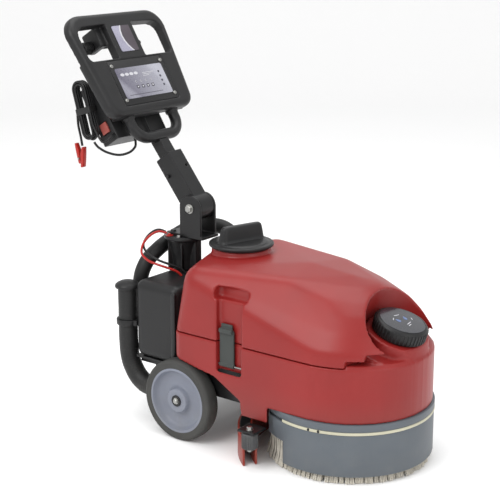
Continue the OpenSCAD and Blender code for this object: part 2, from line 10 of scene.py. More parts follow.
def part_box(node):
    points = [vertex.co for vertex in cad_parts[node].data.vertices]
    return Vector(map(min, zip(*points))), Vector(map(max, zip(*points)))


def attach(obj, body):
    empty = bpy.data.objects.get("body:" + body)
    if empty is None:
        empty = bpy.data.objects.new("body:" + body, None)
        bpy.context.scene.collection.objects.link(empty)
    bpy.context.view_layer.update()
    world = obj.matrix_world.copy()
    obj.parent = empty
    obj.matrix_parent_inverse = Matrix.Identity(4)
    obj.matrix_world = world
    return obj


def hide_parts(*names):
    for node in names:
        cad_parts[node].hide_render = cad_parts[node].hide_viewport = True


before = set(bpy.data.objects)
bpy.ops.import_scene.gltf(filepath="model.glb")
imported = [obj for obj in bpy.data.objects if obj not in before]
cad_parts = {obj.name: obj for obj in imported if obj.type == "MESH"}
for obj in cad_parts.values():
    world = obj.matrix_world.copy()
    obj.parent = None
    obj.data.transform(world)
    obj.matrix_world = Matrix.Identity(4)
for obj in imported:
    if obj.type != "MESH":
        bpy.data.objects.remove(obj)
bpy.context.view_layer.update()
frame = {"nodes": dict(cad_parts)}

bl_info = {
    "name": "Floor Scrubber",
    "version": (1, 0, 0),
    "blender": (4, 5, 0),
    "location": "View3D > Sidebar > Scrubber",
    "description": "Builds the visible pieces of a walk-behind floor scrubber",
    "category": "Add Mesh",
}

# ---- places, in millimetres from the brush axis, the machine's middle and the floor ----

MM = 0.001
TONE = 0.62                     # share of a paint's colour left to it under the bright studio
LEAN = 31.8                     # degrees the handle panel leans back
CAP_TILT = 18.0
SEAM_Z = 270.0
TANK_TOP = 447.0
LID_Y = 318.0
BODY_R = 193.0
BODY_BACK = 380.0
CAP_AT = (0, -126, 316)
SCOOP_R = 76.0                  # half the tank's bowl round the filler cap, front to back
SCOOP_W = 114.0                 # half its width
NOTCH_Z = 302.0                 # top of the tank's front notch
NOTCH_STEP = 14.0               # how much lower the notch is further round the side
WHEEL_R = 100.0
AXLE_Y = 359.0
WHEEL_FACE = 203.0              # machine's middle to a wheel's outer face
WHEEL_W = 40.0
FLANGE_Z = 450.0
COLUMN_Y = 498.0
LIP_GAP = 1.6                   # clearance that shows as the seam under the tank
LABEL_SIZE = (169, 82)          # control panel's printed label
BRIDGE_SIZE = (62, 70)          # bridge label
PANEL_SCREWS = (177.6, 92.5)    # spacing of the panel's screws
ROD_AT = (0, 78, -58)           # dead-man rod in the panel's plane
ROLLER_AT = (231, 116)
STRAP_X = 182.0

FRONT_DOME = ((304, 190), (343, 165), (372, 139), (396, 106), (418, 60))    # height, radius
CROWN = ((215, 437), (110, 441), (5, 431))                                  # distance back, height
SHOULDERS = ((150, 322, 392, 40), (108, 190, 402, 30), (160, 160, 352, 27),
             (100, 90, 402, 30), (95, -6, 378, 30), (85, -67, 358, 30))     # x, y, z, radius

NOTCH = ((0, -110), (90, -110), (143, -128), (175, -160), (175, -215), (0, -215))
SIDE_NOTCH = ((90, -110), (152, -92), (200, -92), (200, -215), (90, -215))
STRAP_RECESS = ((176, 172, 200), (230, 244, 378))
FINGER_POCKET = ((160, 165, 371), (235, 255, 401))
HAND_OPENING = ((47, 19), (141, 19), (149, 27), (151, 84), (147, 98), (138, 107), (124, 111), (47, 113))
BRIDGE_CURVE = ((14, 34), (8, 41), (1, 51), (-4, 63), (-6, 76), (-4, 90), (2, 104))
SUCTION_ROUTE = ((-70, 560, 166.4), (-70, 560, 192), (-72, 565, 222), (-80, 574, 285), (-84, 572, 340),
                 (-70, 563, 382), (-35, 558, 406), (5, 560, 418), (45, 558, 430), (80, 545, 442),
                 (108, 515, 448), (124, 475, 445), (130, 442, 426), (131, 421, 402), (131, 414, 380),
                 (131, 414, 363.5))
DRAIN_ROUTE = ((-140, 566, 330), (-140, 566, 260), (-140, 566, 190), (-140, 560, 145), (-140, 540, 110),
               (-140, 515, 92), (-140, 492, 88), (-140, 471.2, 88))
RED_ROUTE = ((-44, 518, 457), (-56, 534, 461), (-72, 548, 452), (-86, 559, 432), (-96, 556, 410),
             (-101, 532, 397), (-97, 505, 390), (-84, 482, 382), (-68, 466, 372), (-60, 458, 361))
BLACK_ROUTE = ((-36, 528, 457), (-45, 543, 462), (-56, 556, 456), (-68, 566, 441), (-78, 566, 424),
               (-86, 545, 409), (-85, 515, 398), (-72, 488, 388), (-52, 468, 376), (-44, 458, 361))
CHARGER_ROUTE = ((-117.6, 619, 705), (-127, 617, 701), (-136, 623, 692), (-141, 637, 687), (-139, 656, 691))
CLIP_ROUTE = ((-135, 720, 752), (-135, 723, 735), (-135, 721, 715), (-135, 715, 692), (-135, 710, 668))
LOOP_ROUTE = ((-132, 672, 681), (-126, 664, 668), (-112, 648, 655), (-92, 628, 648), (-72, 612, 653),
              (-57, 606, 665), (-49, 611, 677), (-46, 617, 687))
CONTROL_ROUTE = ((-8, 618, 733), (-7, 608, 712), (-5, 598, 694), (-3, 589, 674), (-1, 575, 651), (0, 559, 629))


def middle(node):
    """Centre of a frame node's box, in metres."""
    low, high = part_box(node)
    return Vector(low).lerp(Vector(high), 0.5)


def turned(degrees, axis="X"):
    return Matrix.Rotation(math.radians(degrees), 4, axis)


def moved(x, y, z):
    return Matrix.Translation((x, y, z))


DESIGN = moved(0, middle("bristles").y, 0) @ Matrix.Scale(MM, 4)
PANEL = DESIGN @ moved(0, 647, 864) @ turned(90 - LEAN)        # x across, y up the panel, z out of its face
CAP = DESIGN @ moved(*CAP_AT) @ turned(CAP_TILT)          # z along the filler cap's axis
LID = DESIGN @ moved(0, LID_Y, TANK_TOP)


def paint(red, green, blue):
    """Linear colour of a paint given as it looks on a screen, 0 to 255."""
    return tuple(TONE * (c / 255 / 12.92 if c < 11 else ((c / 255 + 0.055) / 1.055) ** 2.4)
                 for c in (red, green, blue))


# ---- sizes and colours that a user may change ----

class ScrubberSizes(bpy.types.PropertyGroup):
    """Sizes of the repeated and softened details"""

    tuft_count: bpy.props.IntProperty(
        name="Tufts per Row", description="Bristle tufts in one row of the brush", default=102, min=40, max=600)
    tuft_thickness: bpy.props.FloatProperty(
        name="Strand Thickness", description="Thickness of one bristle strand", default=2.1 * MM,
        subtype="DISTANCE", unit="LENGTH")
    edge_round: bpy.props.FloatProperty(
        name="Edge Round", description="Radius of the worn edges of pressed and cut pieces", default=1.0 * MM,
        subtype="DISTANCE", unit="LENGTH")
    shell_grid: bpy.props.FloatProperty(
        name="Shell Grid", description="Cell size of the rotomoulded shells' surface", default=3.0 * MM,
        subtype="DISTANCE", unit="LENGTH")
    cap_knurls: bpy.props.IntProperty(
        name="Cap Knurls", description="Grip ribs round the filler cap", default=44, min=8, max=120)
    roller_knurls: bpy.props.IntProperty(
        name="Roller Knurls", description="Ribs round a squeegee roller", default=30, min=8, max=90)
    hose_pitch: bpy.props.FloatProperty(
        name="Hose Rib Pitch", description="Distance between two ribs of the hoses", default=7 * MM,
        subtype="DISTANCE", unit="LENGTH")


def colour(name, description, default):
    """A colour property with its default as linear values."""
    return bpy.props.FloatVectorProperty(name=name, description=description, default=default, size=3,
                                         subtype="COLOR", min=0.0, max=1.0)


class ScrubberColours(bpy.types.PropertyGroup):
    """Colours of the scrubber's finishes"""

    shell: colour("Shell Red", "Tank and lower body", paint(162, 41, 39))
    deck: colour("Deck Grey", "Deck and skirt", paint(108, 115, 122))
    band: colour("Band Cream", "Clamping band of the skirt", paint(222, 218, 192))
    plastic: colour("Black Plastic", "Handle, lid, cap and rear housing", paint(35, 35, 36))
    frame: colour("Frame Black", "Coated steel of the chassis, fork and arm", paint(31, 31, 32))
    rim: colour("Rim Grey", "Wheel rims", paint(143, 148, 162))
    tyre: colour("Tyre Grey", "Wheel tyres", paint(74, 74, 72))
    bristle: colour("Bristle Tan", "Brush bristles", paint(250, 243, 228))
    blade: colour("Blade Red", "Squeegee blades", paint(168, 56, 40))
    clip: colour("Clip Red", "Charger clip and rocker", paint(190, 42, 32))
    lead: colour("Lead Red", "Positive battery lead", paint(196, 40, 34))
    label_dark: colour("Label Dark", "Darker side of the printed labels", paint(96, 92, 112))
    label_light: colour("Label Light", "Lighter side of the printed labels", paint(196, 197, 208))
    zinc: colour("Zinc", "Plated bolts, screws and pins", paint(196, 196, 192))


# ---- node trees as plain arithmetic ----

class Signal:
    """One socket of a node tree, on which ordinary arithmetic works."""

    def __init__(self, writer, socket):
        self.writer = writer
        self.socket = socket

    def maths(self, operation, *terms, clamp=False):
        return self.writer.node("ShaderNodeMath", {"operation": operation, "use_clamp": clamp},
                                dict(enumerate(terms)))

    def __add__(self, other):
        return self.maths("ADD", self, other)

    def __sub__(self, other):
        return self.maths("SUBTRACT", self, other)

    def __rsub__(self, other):
        return self.maths("SUBTRACT", other, self)

    def __mul__(self, other):
        return self.maths("MULTIPLY", self, other)

    def __truediv__(self, other):
        return self.maths("DIVIDE", self, other)

    def __pow__(self, other):
        return self.maths("POWER", self, other)

    __radd__ = __add__
    __rmul__ = __mul__

    def clamped(self):
        return self.maths("ADD", self, 0.0, clamp=True)

    def step(self, low, high):
        """0 below low and 1 above high, with a straight ramp between."""
        return self.maths("DIVIDE", self - low, high - low, clamp=True)


class NodeWriter:
    """Adds nodes to one tree."""

    tree = None

    def put(self, socket, value):
        if isinstance(value, Signal):
            self.tree.links.new(value.socket, socket)
        else:
            socket.default_value = value

    def node(self, kind, settings=None, values=None, out=0):
        """A new node of this kind: its settings first, then its sockets' values or links."""
        made = self.tree.nodes.new(kind)
        for key, value in (settings or {}).items():
            if key == "stops":
                for stop, (place, shade) in zip(made.color_ramp.elements, value):
                    stop.position, stop.color = place, shade
            else:
                setattr(made, key, value)
        for socket, value in (values or {}).items():
            self.put(made.inputs[socket], value)
        return Signal(self, made.outputs[out])


class Finish(NodeWriter):
    """A procedural material on Object coordinates."""

    def __init__(self, name, metallic=0.0, coat=0.0, coat_roughness=0.1, specular=0.3):
        self.material = bpy.data.materials.new(name)
        self.material.use_nodes = True
        self.tree = self.material.node_tree
        self.shader = self.tree.nodes["Principled BSDF"]
        for socket, value in {"Metallic": metallic, "Coat Weight": coat, "Coat Roughness": coat_roughness,
                              "Specular IOR Level": specular}.items():
            self.shader.inputs[socket].default_value = value
        self.place = self.node("ShaderNodeTexCoord", out="Object")

    def stretched(self, scale, turn=(0, 0, 0), centre=(0, 0, 0)):
        """Object coordinates centred, turned and scaled."""
        return self.node("ShaderNodeMapping", None,
                         {"Vector": self.place, "Location": centre, "Rotation": turn, "Scale": scale})

    def noise(self, scale, detail=2.0, rough=0.5, place=None):
        return self.node("ShaderNodeTexNoise", None, {"Vector": place or self.place, "Scale": scale,
                                                      "Detail": detail, "Roughness": rough})

    def cells(self, scale, place=None):
        return self.node("ShaderNodeTexVoronoi", None, {"Vector": place or self.place, "Scale": scale})

    def part(self, axis, place=None):
        """One of the three object coordinates, in metres."""
        return self.node("ShaderNodeSeparateXYZ", None, {"Vector": place or self.place}, out=axis)

    def blend(self, factor, first, second):
        shades = {6: first, 7: second}
        shades = {k: v if isinstance(v, Signal) else (*v[:3], 1.0) for k, v in shades.items()}
        return self.node("ShaderNodeMix", {"data_type": "RGBA"}, {0: factor, **shades}, out=2)

    def finish(self, shade, roughness, height=None, depth=0.0, metallic=None):
        """Links what varies to the shader and returns the material."""
        self.put(self.shader.inputs["Base Color"], shade)
        self.put(self.shader.inputs["Roughness"], roughness)
        if metallic is not None:
            self.put(self.shader.inputs["Metallic"], metallic)
        if height is not None:
            bump = self.node("ShaderNodeBump", None, {"Strength": 1.0, "Distance": depth, "Height": height})
            self.put(self.shader.inputs["Normal"], bump)
        return self.material


def shaded(base, amount):
    """A colour made lighter or darker by a share."""
    return tuple(min(1.0, c * (1.0 + amount)) for c in base)


def moulded_finish(name, base, roughness=0.42, grain=900.0, depth=0.04, mottle=0.08, dust=0.0, scuff=0.0,
                   metallic=0.0, coat=0.0):
    """Moulded, painted or rubber surface: mottled tone, fine grain, floor dust and rubbed patches."""
    look = Finish(name, metallic=metallic, coat=coat)
    broad = look.noise(11.0, 3.0)
    fine = look.noise(grain, 2.0, 0.6)
    shade = look.blend(broad.step(0.3, 0.7), shaded(base, -mottle), shaded(base, mottle))
    rough = roughness + (broad - 0.5) * 0.16 + (fine - 0.5) * 0.08
    if dust:
        settled = (1.0 - look.part("Z").step(0.0, 0.16)) * look.noise(34.0, 4.0).step(0.35, 0.75) * dust
        shade = look.blend(settled, shade, paint(170, 165, 152))
        rough = rough + settled * 0.3
    if scuff:
        rubbed = look.noise(120.0, 5.0, 0.7, look.stretched((1.0, 1.0, 0.25))).step(0.58, 0.72) * scuff
        shade = look.blend(rubbed, shade, shaded(base, 0.45))
        rough = rough + rubbed * 0.15
    return look.finish(shade, rough.clamped(), fine, depth * MM)


def metal_finish(name, base, roughness=0.32, brush=(1.0, 1.0, 30.0), depth=0.02):
    """Plated or cast metal with drawn streaks and small dull spots."""
    look = Finish(name, metallic=1.0)
    streaks = look.noise(260.0, 3.0, 0.6, look.stretched(brush))
    spots = look.noise(70.0, 4.0).step(0.5, 0.75)
    shade = look.blend(streaks.step(0.25, 0.75), shaded(base, -0.12), shaded(base, 0.06))
    shade = look.blend(spots * 0.35, shade, shaded(base, -0.4))
    rough = roughness + (streaks - 0.5) * 0.2 + spots * 0.15
    return look.finish(shade, rough.clamped(), streaks, depth * MM)


def shell_finish(base):
    """Rotomoulded red plastic: fine orange peel, soft mottling and faint rubbed marks on the broad sides."""
    look = Finish("shell_red", coat=0.04, coat_roughness=0.4)
    peel = look.noise(520.0, 2.0, 0.5)
    broad = look.noise(6.0, 3.0)
    marks = look.noise(60.0, 6.0, 0.75, look.stretched((0.4, 0.4, 2.2))).step(0.66, 0.8)
    shade = look.blend(broad.step(0.3, 0.7), shaded(base, -0.1), shaded(base, 0.08))
    shade = look.blend(marks * 0.12, shade, shaded(base, 0.5))
    low = 1.0 - look.part("Z").step(0.12, 0.2)
    shade = look.blend(low * 0.18, shade, paint(120, 96, 88))
    rough = 0.38 + (broad - 0.5) * 0.12 + (peel - 0.5) * 0.08 + marks * 0.1
    return look.finish(shade, rough.clamped(), peel + marks * 0.4, 0.09 * MM)


def bristle_finish(name, base):
    """Nylon strands: lengthwise streaks, paler at the worn tips."""
    look = Finish(name, specular=0.2)
    streaks = look.noise(900.0, 2.0, 0.6, look.stretched((1.0, 1.0, 0.03)))
    clumps = look.noise(60.0, 2.0)
    shade = look.blend(streaks.step(0.35, 0.65), shaded(base, -0.3), shaded(base, 0.15))
    shade = look.blend((clumps.step(0.4, 0.7)) * 0.4, shade, shaded(base, -0.45))
    tips = 1.0 - look.part("Z").step(0.002, 0.012)
    shade = look.blend(tips * 0.35, shade, shaded(base, 0.3))
    return look.finish(shade, 0.5 + (streaks - 0.5) * 0.2, streaks, 0.2 * MM)


def label_finish(name, dark, light, turn, sweep):
    """Printed film under a clear coat: a soft slanting gradient with a paler swoosh."""
    look = Finish(name, coat=0.6, coat_roughness=0.08)
    centre = middle("panel_plate")
    across = look.part("X") - centre.x
    up = look.part("Z") - centre.z
    slope = across * math.cos(math.radians(turn)) + up * math.sin(math.radians(turn))
    shade = look.blend((slope / sweep + 0.5).clamped(), dark, light)
    wave = slope * 38.0 + up * 22.0
    arc = wave.maths("SINE", wave)
    shade = look.blend(arc.step(0.55, 0.95) * 0.35, shade, shaded(light, 0.2))
    film = look.noise(300.0, 3.0)
    return look.finish(shade, 0.28 + (film - 0.5) * 0.12, film, 0.01 * MM)


FINISHES = {}


def finish(name):
    """The named finish, made on its first use from the scene's colours."""
    if name in FINISHES:
        return FINISHES[name]
    c = bpy.context.scene.scrubber_colours
    recipes = {
        "shell_red": lambda: shell_finish(c.shell),
        "deck_grey": lambda: moulded_finish(name, c.deck, 0.42, 700, 0.03, 0.05, scuff=0.12),
        "skirt_grey": lambda: moulded_finish(name, c.deck, 0.45, 500, 0.03, 0.04, dust=0.1, scuff=0.12),
        "band_cream": lambda: moulded_finish(name, c.band, 0.5, 400, 0.04, 0.06, scuff=0.25),
        "black_plastic": lambda: moulded_finish(name, c.plastic, 0.42, 1100, 0.06, 0.12, scuff=0.12),
        "frame_black": lambda: moulded_finish(name, c.frame, 0.36, 1500, 0.05, 0.1, scuff=0.2),
        "black_rubber": lambda: moulded_finish(name, paint(38, 38, 38), 0.5, 600, 0.04, 0.1, dust=0.2),
        "strap_rubber": lambda: moulded_finish(name, paint(70, 74, 72), 0.62, 800, 0.06, 0.12),
        "rim_grey": lambda: moulded_finish(name, c.rim, 0.4, 800, 0.04, 0.06, dust=0.25, scuff=0.2),
        "tyre": lambda: moulded_finish(name, c.tyre, 0.7, 420, 0.12, 0.1, dust=0.1, scuff=0.15),
        "bristle": lambda: bristle_finish(name, c.bristle),
        # painted shade: the bristle colour darkened to stand for the shade down among the inner tufts
        "bristle_painted_shade": lambda: bristle_finish(name, shaded(c.bristle, -0.72)),
        "plate_tan": lambda: moulded_finish(name, paint(176, 166, 128), 0.5, 600, 0.04, 0.08),
        "blade_red": lambda: moulded_finish(name, c.blade, 0.38, 500, 0.02, 0.08, dust=0.3),
        "roller_grey": lambda: moulded_finish(name, paint(96, 97, 99), 0.6, 700, 0.06, 0.1, dust=0.3),
        "clip_red": lambda: moulded_finish(name, c.clip, 0.32, 400, 0.03, 0.08, coat=0.3),
        "switch_red": lambda: moulded_finish(name, paint(176, 92, 84), 0.35, 900, 0.01, 0.05),
        "lead_red": lambda: moulded_finish(name, c.lead, 0.35, 300, 0.01, 0.06),
        "cable_black": lambda: moulded_finish(name, paint(30, 30, 31), 0.38, 300, 0.01, 0.1),
        "tank_white": lambda: moulded_finish(name, paint(222, 219, 208), 0.45, 500, 0.05, 0.04),
        "battery_case": lambda: moulded_finish(name, paint(58, 58, 62), 0.5, 500, 0.04, 0.08),
        "motor_black": lambda: moulded_finish(name, paint(48, 48, 50), 0.4, 700, 0.05, 0.1),
        "mark_pale": lambda: moulded_finish(name, paint(222, 222, 228), 0.3, 300, 0.005, 0.02, coat=0.5),
        "mark_dark": lambda: moulded_finish(name, paint(52, 50, 66), 0.3, 300, 0.005, 0.04, coat=0.5),
        "mark_blue": lambda: moulded_finish(name, paint(96, 120, 168), 0.28, 300, 0.005, 0.05, coat=0.6),
        "cap_print": lambda: moulded_finish(name, paint(40, 42, 52), 0.24, 300, 0.01, 0.1, coat=0.7),
        "cast_metal": lambda: metal_finish(name, paint(160, 162, 164), 0.45, (1, 1, 1), 0.05),
        "bright_steel": lambda: metal_finish(name, c.zinc, 0.3),
        "bridge_dark": lambda: moulded_finish(name, paint(92, 84, 92), 0.4, 120, 0.01, 0.3),
        "label_print": lambda: label_finish(name, c.label_dark, c.label_light, 20.0, 0.2),
        "bridge_print": lambda: label_finish(name, paint(74, 70, 92), paint(178, 176, 196), 55.0, 0.11),
    }
    FINISHES[name] = recipes[name]()
    return FINISHES[name]


# ---- shapes, drawn in millimetres ----

def block(low, high, bevel=0.0, steps=2):
    """Box between two corners, with its edges rounded."""
    bm = bmesh.new()
    bmesh.ops.create_cube(bm, size=1.0)
    for v in bm.verts:
        v.co = Vector([a + (c + 0.5) * (b - a) for a, b, c in zip(low, high, v.co)])
    if bevel:
        bmesh.ops.bevel(bm, geom=bm.edges[:], offset=bevel, segments=steps, affect="EDGES", profile=0.5)
    return bm


def spun(profile, sides=72):
    """Solid of revolution round Z from (radius, height) points; a profile that leaves the axis is a ring."""
    bm = bmesh.new()
    rings = []
    for radius, height in profile:
        if radius < 0.01:
            rings.append([bm.verts.new((0, 0, height))])
        else:
            rings.append([bm.verts.new((radius * math.cos(2 * math.pi * k / sides),
                                        radius * math.sin(2 * math.pi * k / sides), height))
                          for k in range(sides)])
    ring_shaped = profile[0][0] > 0.01
    for low, high in zip(rings, rings[1:] + (rings[:1] if ring_shaped else [])):
        for k in range(sides):
            corners = [low[k % len(low)], low[(k + 1) % len(low)], high[(k + 1) % len(high)], high[k % len(high)]]
            bm.faces.new(list(dict.fromkeys(corners)))
    bmesh.ops.recalc_face_normals(bm, faces=bm.faces[:])
    return bm


def drum(radius, low, high, edge=0.0, sides=48):
    """Cylinder round Z with rounded rims."""
    soft = [(radius - edge * (1 - math.sin(a)), edge * (1 - math.cos(a)))
            for a in (math.radians(d) for d in (0, 30, 60, 90))] if edge else [(radius, 0)]
    profile = [(0, low)] + [(r, low + h) for r, h in soft] + [(r, high - h) for r, h in reversed(soft)] + [(0, high)]
    return spun(profile, sides)


def slab(outline, low, high):
    """Polygon in the XY plane, drawn out along Z."""
    bm = bmesh.new()
    floor = [bm.verts.new((x, y, low)) for x, y in outline]
    roof = [bm.verts.new((x, y, high)) for x, y in outline]
    bm.faces.new(floor[::-1])
    bm.faces.new(roof)
    for k in range(len(outline)):
        j = (k + 1) % len(outline)
        bm.faces.new((floor[k], floor[j], roof[j], roof[k]))
    bmesh.ops.recalc_face_normals(bm, faces=bm.faces[:])
    return bm


def rounded_outline(width, height, radius, steps=6, x=0.0, y=0.0):
    """Points of a rectangle with round corners."""
    points = []
    for quarter, (sx, sy) in enumerate(((1, 1), (-1, 1), (-1, -1), (1, -1))):
        for k in range(steps + 1):
            angle = math.pi / 2 * (quarter + k / steps)
            points.append((x + sx * (width / 2 - radius) + radius * math.cos(angle),
                           y + sy * (height / 2 - radius) + radius * math.sin(angle)))
    return points


def curve_at(a, b, c, d, t):
    return ((2 * b) + (c - a) * t + (2 * a - 5 * b + 4 * c - d) * t * t + (3 * b - a - 3 * c + d) * t ** 3) / 2


def smooth_route(route, steps):
    """One smooth line through the points of a route."""
    p = [Vector(point) for point in route]
    line = [curve_at(p[max(i - 1, 0)], p[i], p[i + 1], p[min(i + 2, len(p) - 1)], k / steps)
            for i in range(len(p) - 1) for k in range(steps)]
    return line + [p[-1]]


def skinned(bm, rings):
    """Closes a form over its rings of points, which all have as many."""
    for low, high in zip(rings, rings[1:]):
        for k in range(len(low)):
            j = (k + 1) % len(low)
            bm.faces.new((low[k], low[j], high[j], high[k]))
    bm.faces.new(rings[0][::-1])
    bm.faces.new(rings[-1])
    bmesh.ops.recalc_face_normals(bm, faces=bm.faces[:])
    return bm


def hose(line, radius, sides=28, pitch=0.0, rib=0.0):
    """Closed tube along a line, with soft ribs every pitch."""
    bm = bmesh.new()
    across = Vector((1, 0.1, 0.2)).normalized()
    travelled = 0.0
    rings = []
    for i, point in enumerate(line):
        along = (line[min(i + 1, len(line) - 1)] - line[max(i - 1, 0)]).normalized()
        side = along.cross(across).normalized()
        other = side.cross(along)
        across = along.cross(side) * -1.0
        if i:
            travelled += (point - line[i - 1]).length
        r = radius - rib * (0.5 - 0.5 * math.cos(2 * math.pi * travelled / pitch)) if pitch else radius
        rings.append([bm.verts.new(point + r * (side * math.cos(2 * math.pi * k / sides)
                                                + other * math.sin(2 * math.pi * k / sides)))
                      for k in range(sides)])
    return skinned(bm, rings)


def shifted(shape, matrix):
    """The shape moved by a matrix."""
    bmesh.ops.transform(shape, matrix=matrix, verts=shape.verts[:])
    return shape


def on_side(side, shape):
    """A shape drawn on the right, brought to the side asked for, with its faces outwards."""
    shifted(shape, Matrix.Diagonal((side, 1, 1, 1)))
    bmesh.ops.recalc_face_normals(shape, faces=shape.faces[:])
    return shape


def resampled(line, step):
    """The line again, with points a fixed step apart."""
    points = [line[0]]
    for a, b in zip(line, line[1:]):
        length = (b - a).length
        for k in range(max(1, round(length / step))):
            points.append(a.lerp(b, (k + 1) / max(1, round(length / step))))
    return points


# ---- objects ----

def object_of(name, mesh):
    piece = bpy.data.objects.new(name, mesh)
    bpy.context.scene.collection.objects.link(piece)
    return piece


def made(name, place, *shapes):
    """One object from closed shapes in the millimetres of place, which takes them to the machine."""
    bm = bmesh.new()
    for shape in shapes:
        mesh = bpy.data.meshes.new("shape")
        shape.to_mesh(mesh)
        shape.free()
        bm.from_mesh(mesh)
        bpy.data.meshes.remove(mesh)
    mesh = bpy.data.meshes.new(name)
    bm.to_mesh(mesh)
    bm.free()
    mesh.transform(place)
    return object_of(name, mesh)


def settled(piece):
    """Turns the piece's modifiers into its own mesh."""
    graph = bpy.context.evaluated_depsgraph_get()
    mesh = bpy.data.meshes.new_from_object(piece.evaluated_get(graph))
    piece.modifiers.clear()
    piece.data = mesh
    return piece


def fused(piece, grid, rounding):
    """Joins the piece's shapes into one skin of even cells and rounds its edges over a few of them."""
    remesh = piece.modifiers.new("skin", "REMESH")
    remesh.mode = "VOXEL"
    remesh.voxel_size = grid
    if rounding:
        soften = piece.modifiers.new("round", "SMOOTH")
        soften.factor = 0.5
        soften.iterations = rounding
    return settled(piece)


def cut(piece, operation="DIFFERENCE", *cutters):
    """Cuts the piece with other objects, or adds them to it, and removes them."""
    for cutter in cutters:
        boolean = piece.modifiers.new("cut", "BOOLEAN")
        boolean.operation = operation
        boolean.solver = "EXACT"
        boolean.object = cutter
    settled(piece)
    for cutter in cutters:
        bpy.data.objects.remove(cutter)
    return piece


def copied(name, node, softness=0.0):
    """A frame node's mesh as a new piece, merged, with flat stretches whole and its sharp edges rounded."""
    bm = bmesh.new()
    bm.from_mesh(frame["nodes"][node].data)
    bmesh.ops.remove_doubles(bm, verts=bm.verts[:], dist=0.02 * MM)
    bmesh.ops.dissolve_limit(bm, angle_limit=math.radians(1.0), verts=bm.verts[:], edges=bm.edges[:])
    if softness:
        sharp = [e for e in bm.edges if len(e.link_faces) == 2 and e.calc_face_angle(0.0) > math.radians(35)]
        bmesh.ops.bevel(bm, geom=sharp, offset=softness, segments=2, affect="EDGES", profile=0.5,
                        clamp_overlap=True)
    mesh = bpy.data.meshes.new(name)
    bm.to_mesh(mesh)
    bm.free()
    return object_of(name, mesh)


def cast(name, node, grid, rounding):
    """A frame node's mesh as a new piece with the round edges of a casting or moulding."""
    return fused(copied(name, node), grid, rounding)


def keep(piece, body, look, *nodes, sharp=38.0, slot=None):
    """Gives a piece its finish and shading, and its place in the machine."""
    if look:
        piece.data.materials.clear()
        piece.data.materials.append(finish(look))
    if piece.type == "MESH":
        for face in piece.data.polygons:
            face.use_smooth = True
        piece.data.set_sharp_from_angle(angle=math.radians(sharp))
    if nodes:
        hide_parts(*nodes)
    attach(piece, body)
    return piece


def dress(look, *nodes):
    """Gives frame nodes that stay visible their finish."""
    for node in nodes:
        for place in frame["nodes"][node].material_slots:
            place.material = finish(look)


# ---- repeated details ----

class Pattern(NodeWriter):
    """A Geometry Nodes tree with named inputs for its sizes."""

    def __init__(self, name, numbers):
        self.numbers = numbers
        self.tree = bpy.data.node_groups.new(name, "GeometryNodeTree")
        self.tree.interface.new_socket("Geometry", in_out="OUTPUT", socket_type="NodeSocketGeometry")
        for label, value in numbers.items():
            kind = "NodeSocketInt" if isinstance(value, int) else "NodeSocketFloat"
            self.tree.interface.new_socket(label, in_out="INPUT", socket_type=kind)
        self.source = self.tree.nodes.new("NodeGroupInput")

    def number(self, label):
        return Signal(self, self.source.outputs[label])

    def vector(self, x=0.0, y=0.0, z=0.0):
        return self.node("ShaderNodeCombineXYZ", None, {0: x, 1: y, 2: z})

    def run(self, name, copies, look, place):
        """Realizes the copies, gives them their finish, and returns them as one plain mesh piece."""
        real = self.node("GeometryNodeRealizeInstances", None, {0: copies})
        dressed = self.node("GeometryNodeSetMaterial", None, {"Geometry": real, "Material": finish(look)})
        result = self.tree.nodes.new("NodeGroupOutput")
        self.put(result.inputs[0], dressed)
        piece = object_of(name, bpy.data.meshes.new(name))
        modifier = piece.modifiers.new("pattern", "NODES")
        modifier.node_group = self.tree
        for item in self.tree.interface.items_tree:
            if item.in_out == "INPUT":
                modifier[item.identifier] = self.numbers[item.name]
        settled(piece)
        piece.data.transform(place)
        return piece


def copies_of(pattern, item, points, turn):
    """Copies of one small object on the points, each turned."""
    source = pattern.node("GeometryNodeObjectInfo", {"transform_space": "ORIGINAL"},
                          {"Object": item, "As Instance": True}, out="Geometry")
    return pattern.node("GeometryNodeInstanceOnPoints", None,
                        {"Points": points, "Instance": source, "Rotation": turn})


def ring_of(name, item, count, radius, look, place, wobble=0.0, start=0.0, sweep=2 * math.pi, stand=0.0, seed=3):
    """Copies of item along an arc, all facing outwards, each leaning a little by chance about its own foot."""
    pattern = Pattern(name + "_pattern", {"Count": count, "Radius": radius, "Wobble": wobble, "Start": start,
                                          "Sweep": sweep, "Stand": stand})
    line = pattern.node("GeometryNodeMeshLine", None, {"Count": pattern.number("Count"), "Offset": (0, 0, 0)})
    index = pattern.node("GeometryNodeInputIndex")
    angle = index / pattern.number("Count") * pattern.number("Sweep") + pattern.number("Start")
    points = pattern.node("GeometryNodeSetPosition", None, {
        "Geometry": line,
        "Position": pattern.vector(angle.maths("COSINE", angle) * pattern.number("Radius"),
                                   angle.maths("SINE", angle) * pattern.number("Radius"),
                                   pattern.number("Stand"))})
    wide = pattern.number("Wobble")
    chance = [pattern.node("FunctionNodeRandomValue", {"data_type": "FLOAT"},
                           {2: wide * -1.0, 3: wide, "Seed": seed + k}, out=1) for k in range(3)]
    turn = pattern.vector(chance[0], chance[1], angle + chance[2])
    piece = pattern.run(name, copies_of(pattern, item, points, turn), look, place)
    bpy.data.objects.remove(item)
    return piece


def grid_of(name, item, across, up, width, height, look, place):
    """Copies of item on a grid centred on place."""
    pattern = Pattern(name + "_pattern", {"Across": across, "Up": up, "Width": width, "Height": height})
    grid = pattern.node("GeometryNodeMeshGrid", None, {
        "Size X": pattern.number("Width"), "Size Y": pattern.number("Height"),
        "Vertices X": pattern.number("Across"), "Vertices Y": pattern.number("Up")})
    piece = pattern.run(name, copies_of(pattern, item, grid, pattern.vector()), look, place)
    bpy.data.objects.remove(item)
    return piece


